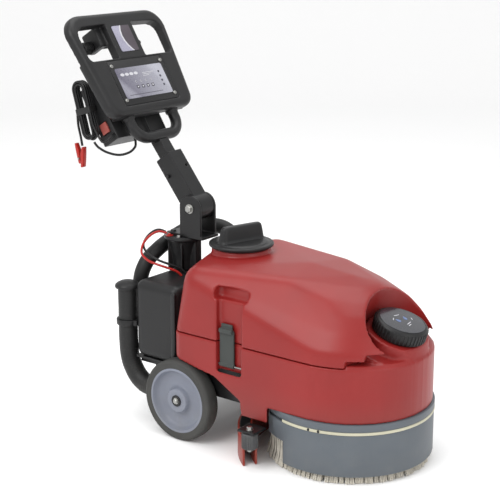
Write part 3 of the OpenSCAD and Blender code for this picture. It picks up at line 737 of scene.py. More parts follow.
def row_of(name, item, count, step, look, place):
    """Copies of item in a row along X from place."""
    pattern = Pattern(name + "_pattern", {"Count": count, "Step": step})
    line = pattern.node("GeometryNodeMeshLine", {"mode": "OFFSET"}, {
        "Count": pattern.number("Count"), "Offset": pattern.vector(pattern.number("Step"))})
    piece = pattern.run(name, copies_of(pattern, item, line, pattern.vector()), look, place)
    bpy.data.objects.remove(item)
    return piece


def unplaced(name, *shapes):
    """A small object in millimetres, for a pattern to copy."""
    return made(name, Matrix.Identity(4), *shapes)


def screw_head(radius, height):
    """Pan head with a cross recess."""
    return spun([(0, 0), (radius, 0), (radius, height * 0.4), (radius * 0.8, height * 0.85), (radius * 0.3, height),
                 (radius * 0.2, height * 0.55), (0, height * 0.5)], 16)


def bolt_head(radius, height):
    """Hexagon head with chamfered corners on a washer."""
    return [drum(radius * 1.25, 0, height * 0.2, 0.3, 32),
            spun([(0, height * 0.1), (radius, height * 0.1), (radius, height * 0.85), (radius * 0.85, height),
                  (0, height)], 6)]


def lofted(levels):
    """Closed form through outlines with equal numbers of points, each at its height."""
    bm = bmesh.new()
    rings = [[bm.verts.new((x, y, height)) for x, y in outline] for outline, height in levels]
    return skinned(bm, rings)


def rounded(piece, width, steps=2):
    """Rounds the sharp edges of a piece."""
    bevel = piece.modifiers.new("edges", "BEVEL")
    bevel.width = width
    bevel.segments = steps
    bevel.limit_method = "ANGLE"
    bevel.angle_limit = math.radians(32)
    return settled(piece)


SIDEWAYS = Matrix(((0, 0, 1, 0), (1, 0, 0, 0), (0, 1, 0, 0), (0, 0, 0, 1)))    # outline in y and z, drawn along x


class Builder:
    """What every piece's operator shares."""

    bl_options = {"REGISTER", "UNDO"}


class SCRUBBER_OT_stage(Builder, bpy.types.Operator):
    """Adds the camera, the soft studio lights and the pale floor"""

    bl_idname = "scrubber.stage"
    bl_label = "Add Stage"

    azimuth = -52.6                 # degrees round the machine, and above the floor
    elevation = 15.1
    distance = 3.0826

    def execute(self, context):
        scene = context.scene
        turn, rise = math.radians(self.azimuth), math.radians(self.elevation)
        back = Vector((math.sin(turn) * math.cos(rise), -math.cos(turn) * math.cos(rise), math.sin(rise)))
        aim = DESIGN @ Vector((-2.4, 290.0, 441.6))
        lens = bpy.data.cameras.new("camera")
        lens.lens, lens.sensor_width = 92.3, 36.0
        camera = bpy.data.objects.new("camera", lens)
        camera.location = aim + back * self.distance
        camera.rotation_euler = (-back).to_track_quat("-Z", "Y").to_euler()
        scene.collection.objects.link(camera)
        scene.camera = camera

        side = Vector((-back.y, back.x, 0)).normalized()
        level = Vector((back.x, back.y, 0)).normalized()
        for name, place, size, power in (
                ("key_light", aim + level * 1.6 - side * 1.5 + Vector((0, 0, 1.9)), 1.6, 46.0),
                ("fill_light", aim + level * 2.2 + side * 1.8 + Vector((0, 0, 0.9)), 2.0, 20.0),
                ("top_light", aim - level * 0.5 + Vector((0, 0, 2.6)), 2.2, 40.0)):
            lamp = bpy.data.lights.new(name, "AREA")
            lamp.size, lamp.energy = size, power
            light = bpy.data.objects.new(name, lamp)
            light.location = place
            light.rotation_euler = (aim - place).to_track_quat("-Z", "Y").to_euler()
            scene.collection.objects.link(light)

        world = bpy.data.worlds.new("studio")
        world.use_nodes = True
        world.node_tree.nodes["Background"].inputs["Color"].default_value = (1.0, 1.0, 1.0, 1.0)
        world.node_tree.nodes["Background"].inputs["Strength"].default_value = 0.95
        scene.world = world
        scene.view_settings.view_transform = "Standard"

        bm = bmesh.new()
        bend, rear, tall, wide = 2.0, 5.0, 7.0, 9.0
        line = [(-6.0, 0.0), (rear, 0.0)]
        line += [(rear + bend * math.sin(a), bend - bend * math.cos(a)) for a in
                 (math.radians(d) for d in range(6, 91, 6))]
        line += [(rear + bend, tall)]
        rows = [[bm.verts.new(-level * along + side * across + Vector((0, 0, up))) for across in (-wide, wide)]
                for along, up in line]
        for low, high in zip(rows, rows[1:]):
            bm.faces.new((low[0], low[1], high[1], high[0]))
        mesh = bpy.data.meshes.new("studio_floor")
        bm.to_mesh(mesh)
        bm.free()
        floor = object_of("studio_floor", mesh)
        look = Finish("studio_white", specular=0.2)
        floor.data.materials.append(look.finish(look.blend(look.noise(0.6), (0.93, 0.93, 0.93), (0.95, 0.95, 0.95)),
                                                0.75 + look.noise(3.0) * 0.05))
        for face in floor.data.polygons:
            face.use_smooth = True
        return {"FINISHED"}


def cable(name, line, diameter, look, body, *nodes):
    """Round cable on a line of points in metres."""
    shape = bpy.data.curves.new(name, "CURVE")
    shape.dimensions = "3D"
    shape.bevel_depth = diameter / 2
    shape.bevel_resolution = 3
    shape.use_fill_caps = True
    spline = shape.splines.new("POLY")
    spline.points.add(len(line) - 1)
    for point, place in zip(spline.points, line):
        point.co = (*place, 1.0)
    spline.use_smooth = True
    return keep(object_of(name, shape), body, look, *nodes)


def route_line(route, steps=6):
    return [DESIGN @ point for point in smooth_route(route, steps)]


class SCRUBBER_OT_cords(Builder, bpy.types.Operator):
    """Adds the charger lead with its hank, the battery leads and the control cable"""

    bl_idname = "scrubber.cords"
    bl_label = "Add Leads"

    def hank_points(self):
        """Turns of the hank, in millimetres: up its front run, over the top and down its back run."""
        hank = moved(-146, 694, 757) @ turned(-16)
        points = []
        for number, (x, inner) in enumerate(((4, 0), (4, 1), (11, 1), (18, 1), (18, 0), (11, 0))):
            half = 20.0 - 6.6 * inner
            following = ((4, 0), (4, 1), (11, 1), (18, 1), (18, 0), (11, 0), (11, 0))[number + 1]
            next_half = 20.0 - 6.6 * following[1]
            points += [(x, -half, z) for z in (-40, -13, 13, 40)]
            points += [(x, -half * math.cos(a), 52 + half * math.sin(a))
                       for a in (math.radians(d) for d in range(0, 181, 20))]
            if number == 5:
                points += [(11, 21.5, 34)]
                break
            points += [(x, half, z) for z in (40, 13, -13, -40)]
            for step in range(10):
                share, a = step / 9, math.radians(20 * step)
                wide = half + (next_half - half) * share
                points.append((x + (following[0] - x) * share, wide * math.cos(a), -52 - wide * math.sin(a)))
        return [tuple(hank @ Vector(point)) for point in points]

    def execute(self, context):
        route = list(CHARGER_ROUTE[:-1]) + self.hank_points() + list(CLIP_ROUTE[1:])
        line = route_line(route, 3)
        lead = cable("charger_lead", line, 6 * MM, "cable_black", "handle", "cable_hank", "charger_cable")
        tie = keep(rounded(made("hank_tie", DESIGN @ moved(-146, 694, 757) @ turned(-16),
                                block((-1.2, -24.5, -8), (23.2, 24.5, 8))), 2.4 * MM, 3),
                   "handle", "black_rubber")
        self.hold(context)
        [tie] + self.clip
        loop_line = route_line(LOOP_ROUTE)
        loop = cable("charger_loop", loop_line, 6 * MM, "cable_black", "handle")
        for name, route, look, length in (("battery_lead_red", RED_ROUTE, "lead_red", 0.22),
                                          ("battery_lead_black", BLACK_ROUTE, "cable_black", 0.21)):
            line = route_line(route)
            nodes = ("battery_leads",) if name == "battery_lead_red" else ()
            lead = cable(name, line, 6 * MM, look, "machine", *nodes)
        line = route_line(CONTROL_ROUTE)
        control = cable("control_lead", line, 4 * MM, "cable_black", "handle", "control_cable")
        return {"FINISHED"}

    def hold(self, context):
        """Red crocodile clip: a fixed half and a sprung half, with toothed noses."""
        nose = [(5.5 - 2 * (k % 2), -12 - 2 * k) for k in range(7)]
        half = [(-6, 26), (-1, 26), (4, 9), (4, -9)] + nose + [(1, -26), (-2, -24), (-4, -8), (-5.5, 9)]
        fixed = made("clip_half", DESIGN @ moved(-135, 708, 640) @ SIDEWAYS, slab(half, -6.5, 6.5))
        keep(rounded(fixed, 1.0 * MM), "handle", "clip_red", "clip_body")
        mirrored = [(-y, z) for y, z in half][::-1]
        sprung = made("clip_sprung_half", DESIGN @ moved(-135, 722, 648) @ turned(-9) @ SIDEWAYS,
                      slab(mirrored, -5.5, 5.5))
        keep(rounded(sprung, 1.0 * MM), "clip_jaw", "clip_red", "clip_jaw")
        pin = made("clip_pin", DESIGN @ moved(-135, 718, 636) @ turned(90, "Y"), drum(2.5, -8, 8, 0.5, 20))
        keep(pin, "clip_jaw", "bright_steel")
        self.clip = [fixed, sprung, pin]


class SCRUBBER_OT_deck(Builder, bpy.types.Operator):
    """Adds the pressed deck, its rubber skirt, the clamping band and the band's screws"""

    bl_idname = "scrubber.deck"
    bl_label = "Add Deck and Skirt"

    def execute(self, context):
        edge = context.scene.scrubber_sizes.edge_round
        keep(copied("deck_pressing", "deck", edge), "machine", "deck_grey", "deck")
        keep(copied("skirt_rubber", "skirt", edge), "machine", "skirt_grey", "skirt")
        keep(copied("band_strip", "skirt_band", edge * 0.8), "machine", "band_cream", "skirt_band")
        rivet = unplaced("rivet", shifted(spun([(0, 0), (3.4, 0), (3, 1.1), (1.6, 1.9), (0, 2.1)], 14),
                                          moved(198, 0, 0) @ turned(90, "Y")))
        keep(ring_of("band_rivets", rivet, 2, 0.0, "black_plastic", DESIGN @ moved(0, 0, 122.8),
                     start=math.radians(186), sweep=math.radians(14)), "machine", "black_plastic")
        return {"FINISHED"}


class SCRUBBER_OT_brush(Builder, bpy.types.Operator):
    """Adds the disc brush: its tufts in rows, a solid ring for the inner tufts whose darkened bristle colour is
    painted shade, and the plate
    """

    bl_idname = "scrubber.brush"
    bl_label = "Add Brush"

    def execute(self, context):
        sizes = context.scene.scrubber_sizes
        thick = sizes.tuft_thickness / MM
        for row, (radius, flare) in enumerate(((180, 10), (174, 8), (168, 5))):
            strands = []
            for k in range(7):
                side = (k - 3) * 1.25
                lean = flare * (0.7 + 0.1 * ((k * 3) % 4))
                line = [Vector((0, side * 0.6, 0)), Vector((lean * 0.3, side * 0.9, -42)),
                        Vector((lean, side * 1.05, -63.2 + 0.9 * ((k * 2) % 3)))]
                strands.append(hose(line, thick / 2, 4))
            tuft = unplaced("tuft", *strands)
            fringe = ring_of("bristle_fringe_%d" % (row + 1), tuft, sizes.tuft_count - 8 * row, float(radius),
                             "bristle", DESIGN, wobble=0.05, start=row * 0.02, seed=5 + 3 * row, stand=64.0)
            keep(fringe, "brush", "bristle", *(("bristles",) if row == 0 else ()))
        # Solid ring in place of the inner tufts; its darkened bristle colour is painted shade, not a different
        # nylon.
        core = spun([(92, 3), (160, 3), (162, 14), (160, 63.6), (92, 63.6)], 120)
        keep(made("bristle_core", DESIGN, core), "brush", "bristle_painted_shade", slot="bristle")
        dress("plate_tan", "brush_plate")
        dress("bright_steel", "drive_shaft")
        return {"FINISHED"}


def tank_points():
    """Points that the tank's crowned form is stretched over."""
    points = []
    corner = 30.0
    radius = BODY_R - 1.0
    for height in (SEAM_Z - 14, SEAM_Z + 1):
        points += [(radius * math.cos(a), radius * math.sin(a), height)
                   for a in (math.radians(d) for d in range(180, 361, 4))]
        for side in (-1, 1):
            points += [(side * (radius - corner + corner * math.cos(a)),
                        BODY_BACK - corner + corner * math.sin(a), height)
                       for a in (math.radians(d) for d in range(0, 91, 15))]
    for height, reach in FRONT_DOME:
        points += [(reach * math.cos(a), reach * math.sin(a), height) for a in
                   (math.radians(d) for d in range(0, 360, 5))]
    balls = [(side * x, y, z, r) for x, y, z, r in SHOULDERS for side in (-1, 1)]
    balls += [(0, y, z - 40, 40) for y, z in CROWN]
    for x, y, z, r in balls:
        for lift in range(-60, 91, 15):
            wide = r * math.cos(math.radians(lift))
            points += [(x + wide * math.cos(a), y + wide * math.sin(a), z + r * math.sin(math.radians(lift)))
                       for a in (math.radians(d) for d in range(0, 360, 20))]
    for height in (TANK_TOP - 47, TANK_TOP - 17):
        points += [(75 * math.cos(a), LID_Y + 75 * math.sin(a), height) for a in
                   (math.radians(d) for d in range(0, 360, 10))]
    return points


class SCRUBBER_OT_shells(Builder, bpy.types.Operator):
    """Adds the rotomoulded lower body and the lift-off tank over it"""

    bl_idname = "scrubber.shells"
    bl_label = "Add Body and Tank"

    def execute(self, context):
        grid = context.scene.scrubber_sizes.shell_grid
        keep(cast("body_moulding", "body_shell", grid, 3), "machine", "shell_red", "body_shell", sharp=60)

        form = bmesh.new()
        bmesh.ops.convex_hull(form, input=[form.verts.new(point) for point in tank_points()])
        loose = [v for v in form.verts if not v.link_faces]
        bmesh.ops.delete(form, geom=loose, context="VERTS")
        bmesh.ops.recalc_face_normals(form, faces=form.faces[:])
        tank = fused(made("tank_moulding", DESIGN, form), 5 * MM, 14)
        neck = made("neck", LID, drum(72, -60, 0, 2, 96))
        cut(tank, "UNION", neck)
        bowl = shifted(drum(SCOOP_R, -95, 170, 0, 96), Matrix.Diagonal((SCOOP_W / SCOOP_R, 1, 1, 1)))
        cutters = [
            made("cutter", DESIGN, block((-260, -260, 200), (260, 460, SEAM_Z + LIP_GAP))),
            made("cutter", CAP, bowl),
            made("cutter", LID, drum(67, -150, 30, 0, 96)),
        ]
        for side in (-1, 1):
            shapes = [block(*STRAP_RECESS, 3, 3), block(*FINGER_POCKET, 9, 3),
                      slab(NOTCH, SEAM_Z - 20, NOTCH_Z), slab(SIDE_NOTCH, SEAM_Z - 20, NOTCH_Z - NOTCH_STEP)]
            cutters += [made("cutter", DESIGN, on_side(side, shape)) for shape in shapes]
        cut(tank, "DIFFERENCE", *cutters)
        fused(tank, grid, 3)
        keep(tank, "tank", "shell_red", "twin_tank", sharp=60)
        return {"FINISHED"}


class SCRUBBER_OT_lid(Builder, bpy.types.Operator):
    """Adds the screw lid with its dished flange and bar grip"""

    bl_idname = "scrubber.lid"
    bl_label = "Add Lid"

    def execute(self, context):
        flange = spun([(0, -7), (65.6, -7), (65.6, 3.4), (78.5, 3.4), (79, 5), (79, 9), (76.5, 11.2), (67, 11.6),
                       (64, 14.2), (58, 15), (0, 15.6)], 96)
        bar = lofted([(rounded_outline(128, 34, 14), 13), (rounded_outline(124, 28, 12), 20),
                      (rounded_outline(118, 24, 11), 40), (rounded_outline(113, 21, 10), 49),
                      (rounded_outline(104, 13, 6), 53)])
        shifted(bar, turned(-17, "Z"))
        lid = fused(made("lid_with_grip", LID, flange, bar), 1.6 * MM, 1)
        fused(lid, 1.4 * MM, 3)
        keep(lid, "lid", "black_plastic", "lid", sharp=60)
        dress("black_rubber", "lid_seal", "cap_seal")
        return {"FINISHED"}


class SCRUBBER_OT_cap(Builder, bpy.types.Operator):
    """Adds the filler cap with its knurled side and printed face"""

    bl_idname = "scrubber.cap"
    bl_label = "Add Filler Cap"

    def execute(self, context):
        count = context.scene.scrubber_sizes.cap_knurls
        body = spun([(0, 13), (41, 13), (41, 2), (60, 2), (61.4, 3.4), (61.4, 26), (60.6, 29.5), (58, 32.5),
                     (54.5, 33.8), (54, 33.2), (0, 33.4)], 96)
        keep(made("filler_cap_body", CAP, body), "filler_cap", "black_plastic", "filler_cap", sharp=45)
        rib = unplaced("rib", block((60, -1.5, 4), (63, 1.5, 29), 0.7, 1))
        keep(ring_of("filler_cap_knurls", rib, count, 0.0, "black_plastic", CAP), "filler_cap", "black_plastic")
        face = spun([(0, 33.5), (52.5, 33.5), (53, 34), (52.4, 34.5), (30, 35.2), (0, 35.4)], 96)
        keep(made("filler_cap_face", CAP, face), "filler_cap", "cap_print", "cap_face", slot="label_print")
        drop = [(4.5 * math.sin(a) * (1 - 0.45 * math.cos(a)), 7 * math.cos(a)) for a in
                (math.radians(d) for d in range(0, 360, 20))]
        drops = [shifted(slab(drop[::-1], 35.0, 35.7), moved(x, y, 0) @ turned(spin, "Z"))
                 for x, y, spin in ((-13, 4, 20), (12, 2, -25))]
        bars = [shifted(block((-long, -1, 34.8), (long, 1, 35.6), 0.3, 1), moved(x, y, 0) @ turned(spin, "Z"))
                for long, x, y, spin in ((9, 2, -16, 8), (6, -3, -22, 8), (8, 4, 20, -12), (5, -18, 14, 30),
                                         (4, 26, -8, 60))]
        keep(made("filler_cap_bars", CAP, *bars), "filler_cap", "mark_pale", slot="label_print")
        keep(made("filler_cap_drops", CAP, *drops), "filler_cap", "mark_blue", slot="label_print")
        return {"FINISHED"}


class SCRUBBER_OT_wheels(Builder, bpy.types.Operator):
    """Adds both wheels with their tyres, and the axle's caps"""

    bl_idname = "scrubber.wheels"
    bl_label = "Add Wheels"

    def execute(self, context):
        rim = [(10.5, -17), (24, -17), (25, -13), (68, -12), (72, -17), (79.9, -17.5), (79.9, 18.6), (77.8, 19.6),
               (74.4, 19), (71.4, 12), (68.5, 6), (64, 3.2), (52, 2), (40, 2.4), (33.5, 4.2), (31, 8), (30, 15),
               (28, 17.6), (14, 18), (10.5, 17)]
        tyre = [(80, -18.6), (91.5, -20), (94.5, -19.6), (97.4, -17.6), (99.2, -14.2), (100, -9), (100, 9),
                (99.2, 14.2), (97.4, 17.6), (94.5, 19.6), (91.5, 20), (90, 19.2), (84, 19.6), (80, 18.6)]
        for side, word in ((-1, "left"), (1, "right")):
            place = DESIGN @ moved(side * (WHEEL_FACE - WHEEL_W / 2), AXLE_Y, WHEEL_R) @ turned(90 * side, "Y")
            body = "wheel_" + word
            keep(made("wheel_rim_" + word, place, spun(rim, 128)), body, "rim_grey", "rim_" + word, sharp=50)
            keep(made("wheel_tyre_" + word, place, spun(tyre, 128)), body, "tyre", "tyre_" + word, sharp=50)
            ring = spun([(8, 16.4), (13, 16.4), (13.6, 17.2), (13.6, 20.2), (12.6, 21), (8, 21)], 48)
            nodes = ("axle_caps",) if side < 0 else ()
            keep(made("axle_ring_" + word, place, ring), "machine", "black_plastic", *nodes)
            bolt = [shifted(shape, moved(0, 0, 19.5)) for shape in bolt_head(6.4, 5.2)]
            keep(made("axle_bolt_" + word, place, *bolt), "machine", "bright_steel")
        dress("bright_steel", "axle")
        return {"FINISHED"}


class SCRUBBER_OT_straps(Builder, bpy.types.Operator):
    """Adds the rubber latch straps and their pins"""

    bl_idname = "scrubber.straps"
    bl_label = "Add Latch Straps"

    def execute(self, context):
        for side, word in ((-1, "left"), (1, "right")):
            strap = [block((179.4, 198, 211.5), (184.6, 240, 302), 2, 2),
                     block((179.6, 200, 294), (191.5, 238, 306), 3.5, 3),
                     block((179, 203, 300), (184.5, 235, 316), 2, 2),
                     shifted(drum(5.2, -21, 21, 1, 32), moved(STRAP_X, 219, 216) @ turned(90))]
            strap = [on_side(side, shape) for shape in strap]
            piece = fused(made("latch_strap_" + word, DESIGN, *strap), 0.9 * MM, 2)
            keep(piece, "strap_" + word, "strap_rubber", "strap_" + word, sharp=60)
        dress("bright_steel", "strap_pins")
        return {"FINISHED"}


class SCRUBBER_OT_housing(Builder, bpy.types.Operator):
    """Adds the rear housing, the steering column with its flange, and their screws"""

    bl_idname = "scrubber.housing"
    bl_label = "Add Rear Housing"

    def execute(self, context):
        case = block((-157, 393, 166), (157, 529, 361), 20, 5)
        shoulders = [block((side * 160 - 3.5, 393, 175), (side * 160 + 3.5, 407, 350), 3, 2) for side in (-1, 1)]
        housing = fused(made("housing_case", DESIGN, case, *shoulders), 2.4 * MM, 1)
        keep(fused(housing, 2.2 * MM, 2), "machine", "black_plastic", "rear_housing", sharp=60)
        rib = unplaced("rib", block((-2, 528, 190), (2, 531, 340), 0.8, 1))
        keep(row_of("housing_ribs", rib, 9, 32.0, "black_plastic", DESIGN @ moved(-128, 0, 0)), "machine",
             "black_plastic")
        dress("cast_metal", "suction_motor")

        funnel = spun([(0, 361.6), (31, 361.6), (31, 388), (33, 402), (38, 421), (45, 438), (51, 441.5), (51, 448.5),
                       (49.8, 450), (0, 450)], 96)
        ribs = [block((-12, COLUMN_Y - 46, 361.6), (12, COLUMN_Y, 442), 2, 2)]
        ribs += [shifted(block((0, -2.2, 361.6), (44, 2.2, 440), 1, 1), moved(0, COLUMN_Y, 0) @ turned(a, "Z"))
                 for a in (-150, -30, 30, 90, 150)]
        column = fused(made("column_funnel", DESIGN, shifted(funnel, moved(0, COLUMN_Y, 0)), *ribs), 1.5 * MM, 2)
        keep(column, "machine", "black_plastic", "column", sharp=60)
        screw = unplaced("screw", *[shifted(shape, moved(42, 0, 0)) for shape in bolt_head(4.2, 5)])
        keep(ring_of("flange_bolts", screw, 4, 0.0, "bright_steel", DESIGN @ moved(0, COLUMN_Y, FLANGE_Z),
                     start=0.35), "machine", "bright_steel")
        for name, look, at in (("lead_ring_red", "lead_red", RED_ROUTE[0]), ("lead_ring_black", "bright_steel",
                                                                             BLACK_ROUTE[0])):
            lug = [spun([(3.5, 0), (9.5, 0), (9.5, 1.6), (3.5, 1.6)], 24), drum(4.2, 0, 5, 0.6, 16)]
            keep(made(name, DESIGN @ moved(at[0] + 5, at[1] - 4, FLANGE_Z + 0.3), *lug), "machine", look)
        return {"FINISHED"}


class SCRUBBER_OT_hoses(Builder, bpy.types.Operator):
    """Adds the suction hose, the drain hose with its cap, and the hose's clip"""

    bl_idname = "scrubber.hoses"
    bl_label = "Add Hoses"

    def execute(self, context):
        pitch = context.scene.scrubber_sizes.hose_pitch / MM
        for name, route, radius, rib, node in (("suction_hose_tube", SUCTION_ROUTE, 19, 0.0, "suction_hose"),
                                               ("drain_hose_tube", DRAIN_ROUTE, 24, 0.35, "drain_hose")):
            line = resampled(smooth_route(route, 8), 1.6)
            tube = made(name, DESIGN, hose(line, radius, 36, pitch if rib else 0.0, rib))
            keep(tube, "machine", "black_rubber", node, sharp=70)
        cap = spun([(0, 0), (27, 0), (30, 1.2), (31.2, 4.5), (30, 8.5), (26, 12.5), (18, 16.5), (10, 18.6),
                    (0, 19)], 64)
        keep(made("drain_cap_knob", DESIGN @ moved(-140, 566, 330.4), cap), "drain_cap", "black_plastic",
             "drain_cap")
        keep(copied("hose_clip_ring", "hose_clip", 0.8 * MM), "machine", "black_plastic", "hose_clip")
        return {"FINISHED"}


class SCRUBBER_OT_squeegee(Builder, bpy.types.Operator):
    """Adds the squeegee: its bar, blades, bumper rollers and bolts"""

    bl_idname = "scrubber.squeegee"
    bl_label = "Add Squeegee"

    def execute(self, context):
        sizes = context.scene.scrubber_sizes
        keep(cast("squeegee_casting", "squeegee_bar", 1.6 * MM, 2), "squeegee", "frame_black", "squeegee_bar",
             sharp=60)
        for node in ("blade_front", "blade_rear"):
            keep(copied(node + "_strip", node, 0.6 * MM), "squeegee", "blade_red", node)
        dress("frame_black", "squeegee_arm")
        bolts = []
        for side, word in ((-1, "left"), (1, "right")):
            place = DESIGN @ moved(side * ROLLER_AT[0], ROLLER_AT[1], 0)
            drum_shape = spun([(5.3, 55), (16.6, 55), (17.4, 56), (17.4, 90), (16.6, 91), (5.3, 91)], 60)
            keep(made("roller_core_" + word, place, drum_shape), "roller_" + word, "roller_grey", "roller_" + word)
            rib = unplaced("rib", block((16.6, -1.1, 56.5), (19, 1.1, 89.5), 0.5, 1))
            keep(ring_of("roller_ribs_" + word, rib, sizes.roller_knurls, 0.0, "roller_grey", place),
                 "roller_" + word, "roller_grey")
            shapes = [drum(5, 46, 104, 0.4, 24)]
            shapes += [shifted(shape, moved(0, 0, 98.4)) for shape in bolt_head(7, 8)]
            shapes += [shifted(shape, moved(0, 0, 54.4) @ turned(180)) for shape in bolt_head(7, 7)]
            bolts.append([shifted(shape, moved(side * ROLLER_AT[0], ROLLER_AT[1], 0)) for shape in shapes])
        keep(made("roller_bolt_pair", DESIGN, *bolts[0], *bolts[1]), "squeegee", "bright_steel", "roller_bolts")
        return {"FINISHED"}


class SCRUBBER_OT_arm(Builder, bpy.types.Operator):
    """Adds the fork, the hinge bolt, the handle arm and the stem in it"""

    bl_idname = "scrubber.arm"
    bl_label = "Add Fork and Arm"

    def execute(self, context):
        for name, node, body, grid in (("fork_casting", "fork", "machine", 1.4), ("arm_casting", "handle_arm",
                                                                                   "handle", 1.4),
                                       ("stem_bar", "stem", "handle", 1.3)):
            keep(cast(name, node, grid * MM, 2), body, "frame_black", node, sharp=60)
        place = DESIGN @ moved(0, 454, 525) @ turned(90, "Y")
        shapes = [drum(8, -33, 36, 0.5, 32)]
        shapes += [shifted(shape, moved(0, 0, 31.4)) for shape in bolt_head(9.5, 8)]
        shapes += [shifted(shape, moved(0, 0, -31.4) @ turned(180)) for shape in bolt_head(9.5, 8)]
        keep(made("hinge_bolt", place, *shapes), "machine", "bright_steel", "pivot_bolt")
        return {"FINISHED"}


def frame_outline(inset):
    """Outline of the handle frame, wider at the top and drawn in by inset."""
    points = []
    for x, y, radius, start in ((151 - inset, -129 + inset, 32, -90), (171 - inset, 145 - inset, 50, 0),
                                (-171 + inset, 145 - inset, 50, 90), (-151 + inset, -129 + inset, 32, 180)):
        reach = radius - inset * 0.6
        cx, cy = x - math.copysign(reach, x), y - math.copysign(reach, y)
        points += [(cx + reach * math.cos(a), cy + reach * math.sin(a)) for a in
                   (math.radians(start + 90 * k / 8) for k in range(9))]
    return points


class SCRUBBER_OT_handle(Builder, bpy.types.Operator):
    """Adds the handle frame with its hand openings, and the lower grip"""

    bl_idname = "scrubber.handle"
    bl_label = "Add Handle Frame"

    def execute(self, context):
        levels = [(frame_outline(inset), height) for inset, height in
                 ((9, -36), (3.5, -34), (0.8, -29), (0, -24), (0, -13), (1.5, -7), (5, -2.6), (11, 0))]
        frame_form = fused(made("handle_moulding", PANEL, lofted(levels)), 2.6 * MM, 1)
        cutters = []
        for side in (-1, 1):
            opening = [(side * x, y) for x, y in HAND_OPENING]
            cutters.append(made("cutter", PANEL, slab(opening if side > 0 else opening[::-1], -45, 6)))
        cutters += [made("cutter", PANEL, block((-99, -107, -5), (99, 15, 8))),
                    made("cutter", PANEL, block((-200, 22, -60), (200, 160, -26))),
                    made("cutter", PANEL, block((-130, -118, -40), (130, 14, -12)))]
        cut(frame_form, "DIFFERENCE", *cutters)
        x, v, w = ROD_AT
        lugs = [block((-110, v - 10, w - 9), (-99, v + 10, w + 9), 3, 2),
                block((-110, v - 8, w - 9), (-50, v + 4, w - 2), 2, 2),
                block((-68, v - 14, w - 14), (-47, 116, -20), 3, 2)]
        lug_piece = made("lugs", PANEL, *lugs)
        cut(frame_form, "UNION", lug_piece)
        keep(fused(frame_form, 2.1 * MM, 4), "handle", "black_plastic", "handle_frame", sharp=60)
        keep(copied("handle_back", "frame_back", 1.0 * MM), "handle", "black_plastic", "frame_back")

        bend = [(81 - 40 + 40 * math.cos(a), -146 - 40 * math.sin(a), 0) for a in
                (math.radians(d) for d in range(0, 91, 9))]
        half = [(81, -122, 0), (81, -132, 0)] + bend + [(20, -186, 0)]
        line = [Vector((-x, y, z)) for x, y, z in half] + [Vector(point) for point in half[::-1]]
        grip = hose(line, 14, 32)
        collars = [shifted(drum(17, -8, 3, 2.5, 40), moved(side * 81, -131, 0) @ turned(90)) for side in (-1, 1)]
        grip_piece = fused(made("lower_grip_loop", PANEL @ moved(0, 0, -30), grip, *collars), 1.8 * MM, 2)
        keep(grip_piece, "handle", "black_plastic", "lower_grip", sharp=60)
        return {"FINISHED"}


class SCRUBBER_OT_panel(Builder, bpy.types.Operator):
    """Adds the control panel with its printed label, marks and screws, and the bridge label"""

    bl_idname = "scrubber.panel"
    bl_label = "Add Control Panel"

    def execute(self, context):
        tray = made("panel_tray", PANEL, block((-98, -106, -4.9), (98, 14, -1.6), 1.2, 2))
        keep(tray, "handle", "black_plastic", slot="label_print")
        label = made("panel_label", PANEL, slab(rounded_outline(*LABEL_SIZE, 5, 4, 0, -49), -2, -0.6))
        keep(label, "handle", "label_print", "panel_plate")
        bridge = made("bridge_label", PANEL, slab(rounded_outline(*BRIDGE_SIZE, 5, 4, 0, 69), -0.4, 0.9))
        keep(bridge, "handle", "bridge_print", slot="label_print")

        pale = [shifted(drum(4, -0.6, -0.2, 0, 28), moved(x, -26, 0) @ Matrix.Diagonal((1.7, 1, 1, 1)))
                for x in (-66, -50, -34, -18)]
        pale += [block((4, -28 - 4 * k, -0.6), (4 + 40 - 9 * k, -26.8 - 4 * k, -0.3)) for k in range(3)]
        pale += [shifted(drum(2.6, -0.6, -0.25, 0, 20), moved(x, -48, 0)) for x in (-30, -12, 6, 24)]
        dark = [shifted(drum(1.6, -0.6, -0.1, 0, 16), moved(x, -48, 0)) for x in (-30, -12, 6, 24)]
        dark += [block((x, -66, -0.6), (x + 8, -58, -0.25), 0.6, 1) for x in (-34, -16, 2, 20)]
        dark += [shifted(drum(3.0, -0.6, -0.2, 0, 20), moved(64, v, 0)) for v in (-30, -42, -54, -66)]
        dark += [block((-70, -82, -0.6), (50, -81, -0.3))]
        pale += [block((x + 2, -64, -0.3), (x + 6, -60, -0.1)) for x in (-34, -16, 2, 20)]
        keep(made("panel_marks_pale", PANEL, *pale), "handle", "mark_pale", slot="label_print")
        keep(made("panel_marks_dark", PANEL, *dark), "handle", "mark_dark", slot="label_print")
        shade = [(31, 104), *BRIDGE_CURVE[::-1], (31, 34)]
        keep(made("bridge_shade", PANEL, slab(shade, 0.8, 1.1)), "handle", "bridge_dark", slot="label_print")
        stripe = [*BRIDGE_CURVE, *((x - 4.5, y) for x, y in BRIDGE_CURVE[::-1])]
        keep(made("bridge_stripe", PANEL, slab(stripe, 0.8, 1.2)), "handle", "mark_pale", slot="label_print")
        screw = unplaced("screw", screw_head(5.2, 3.0))
        keep(grid_of("panel_screw_set", screw, 2, 2, *PANEL_SCREWS, "bright_steel", PANEL @ moved(0, -46.25, -1.5)),
             "handle", "bright_steel", "panel_screws")
        return {"FINISHED"}


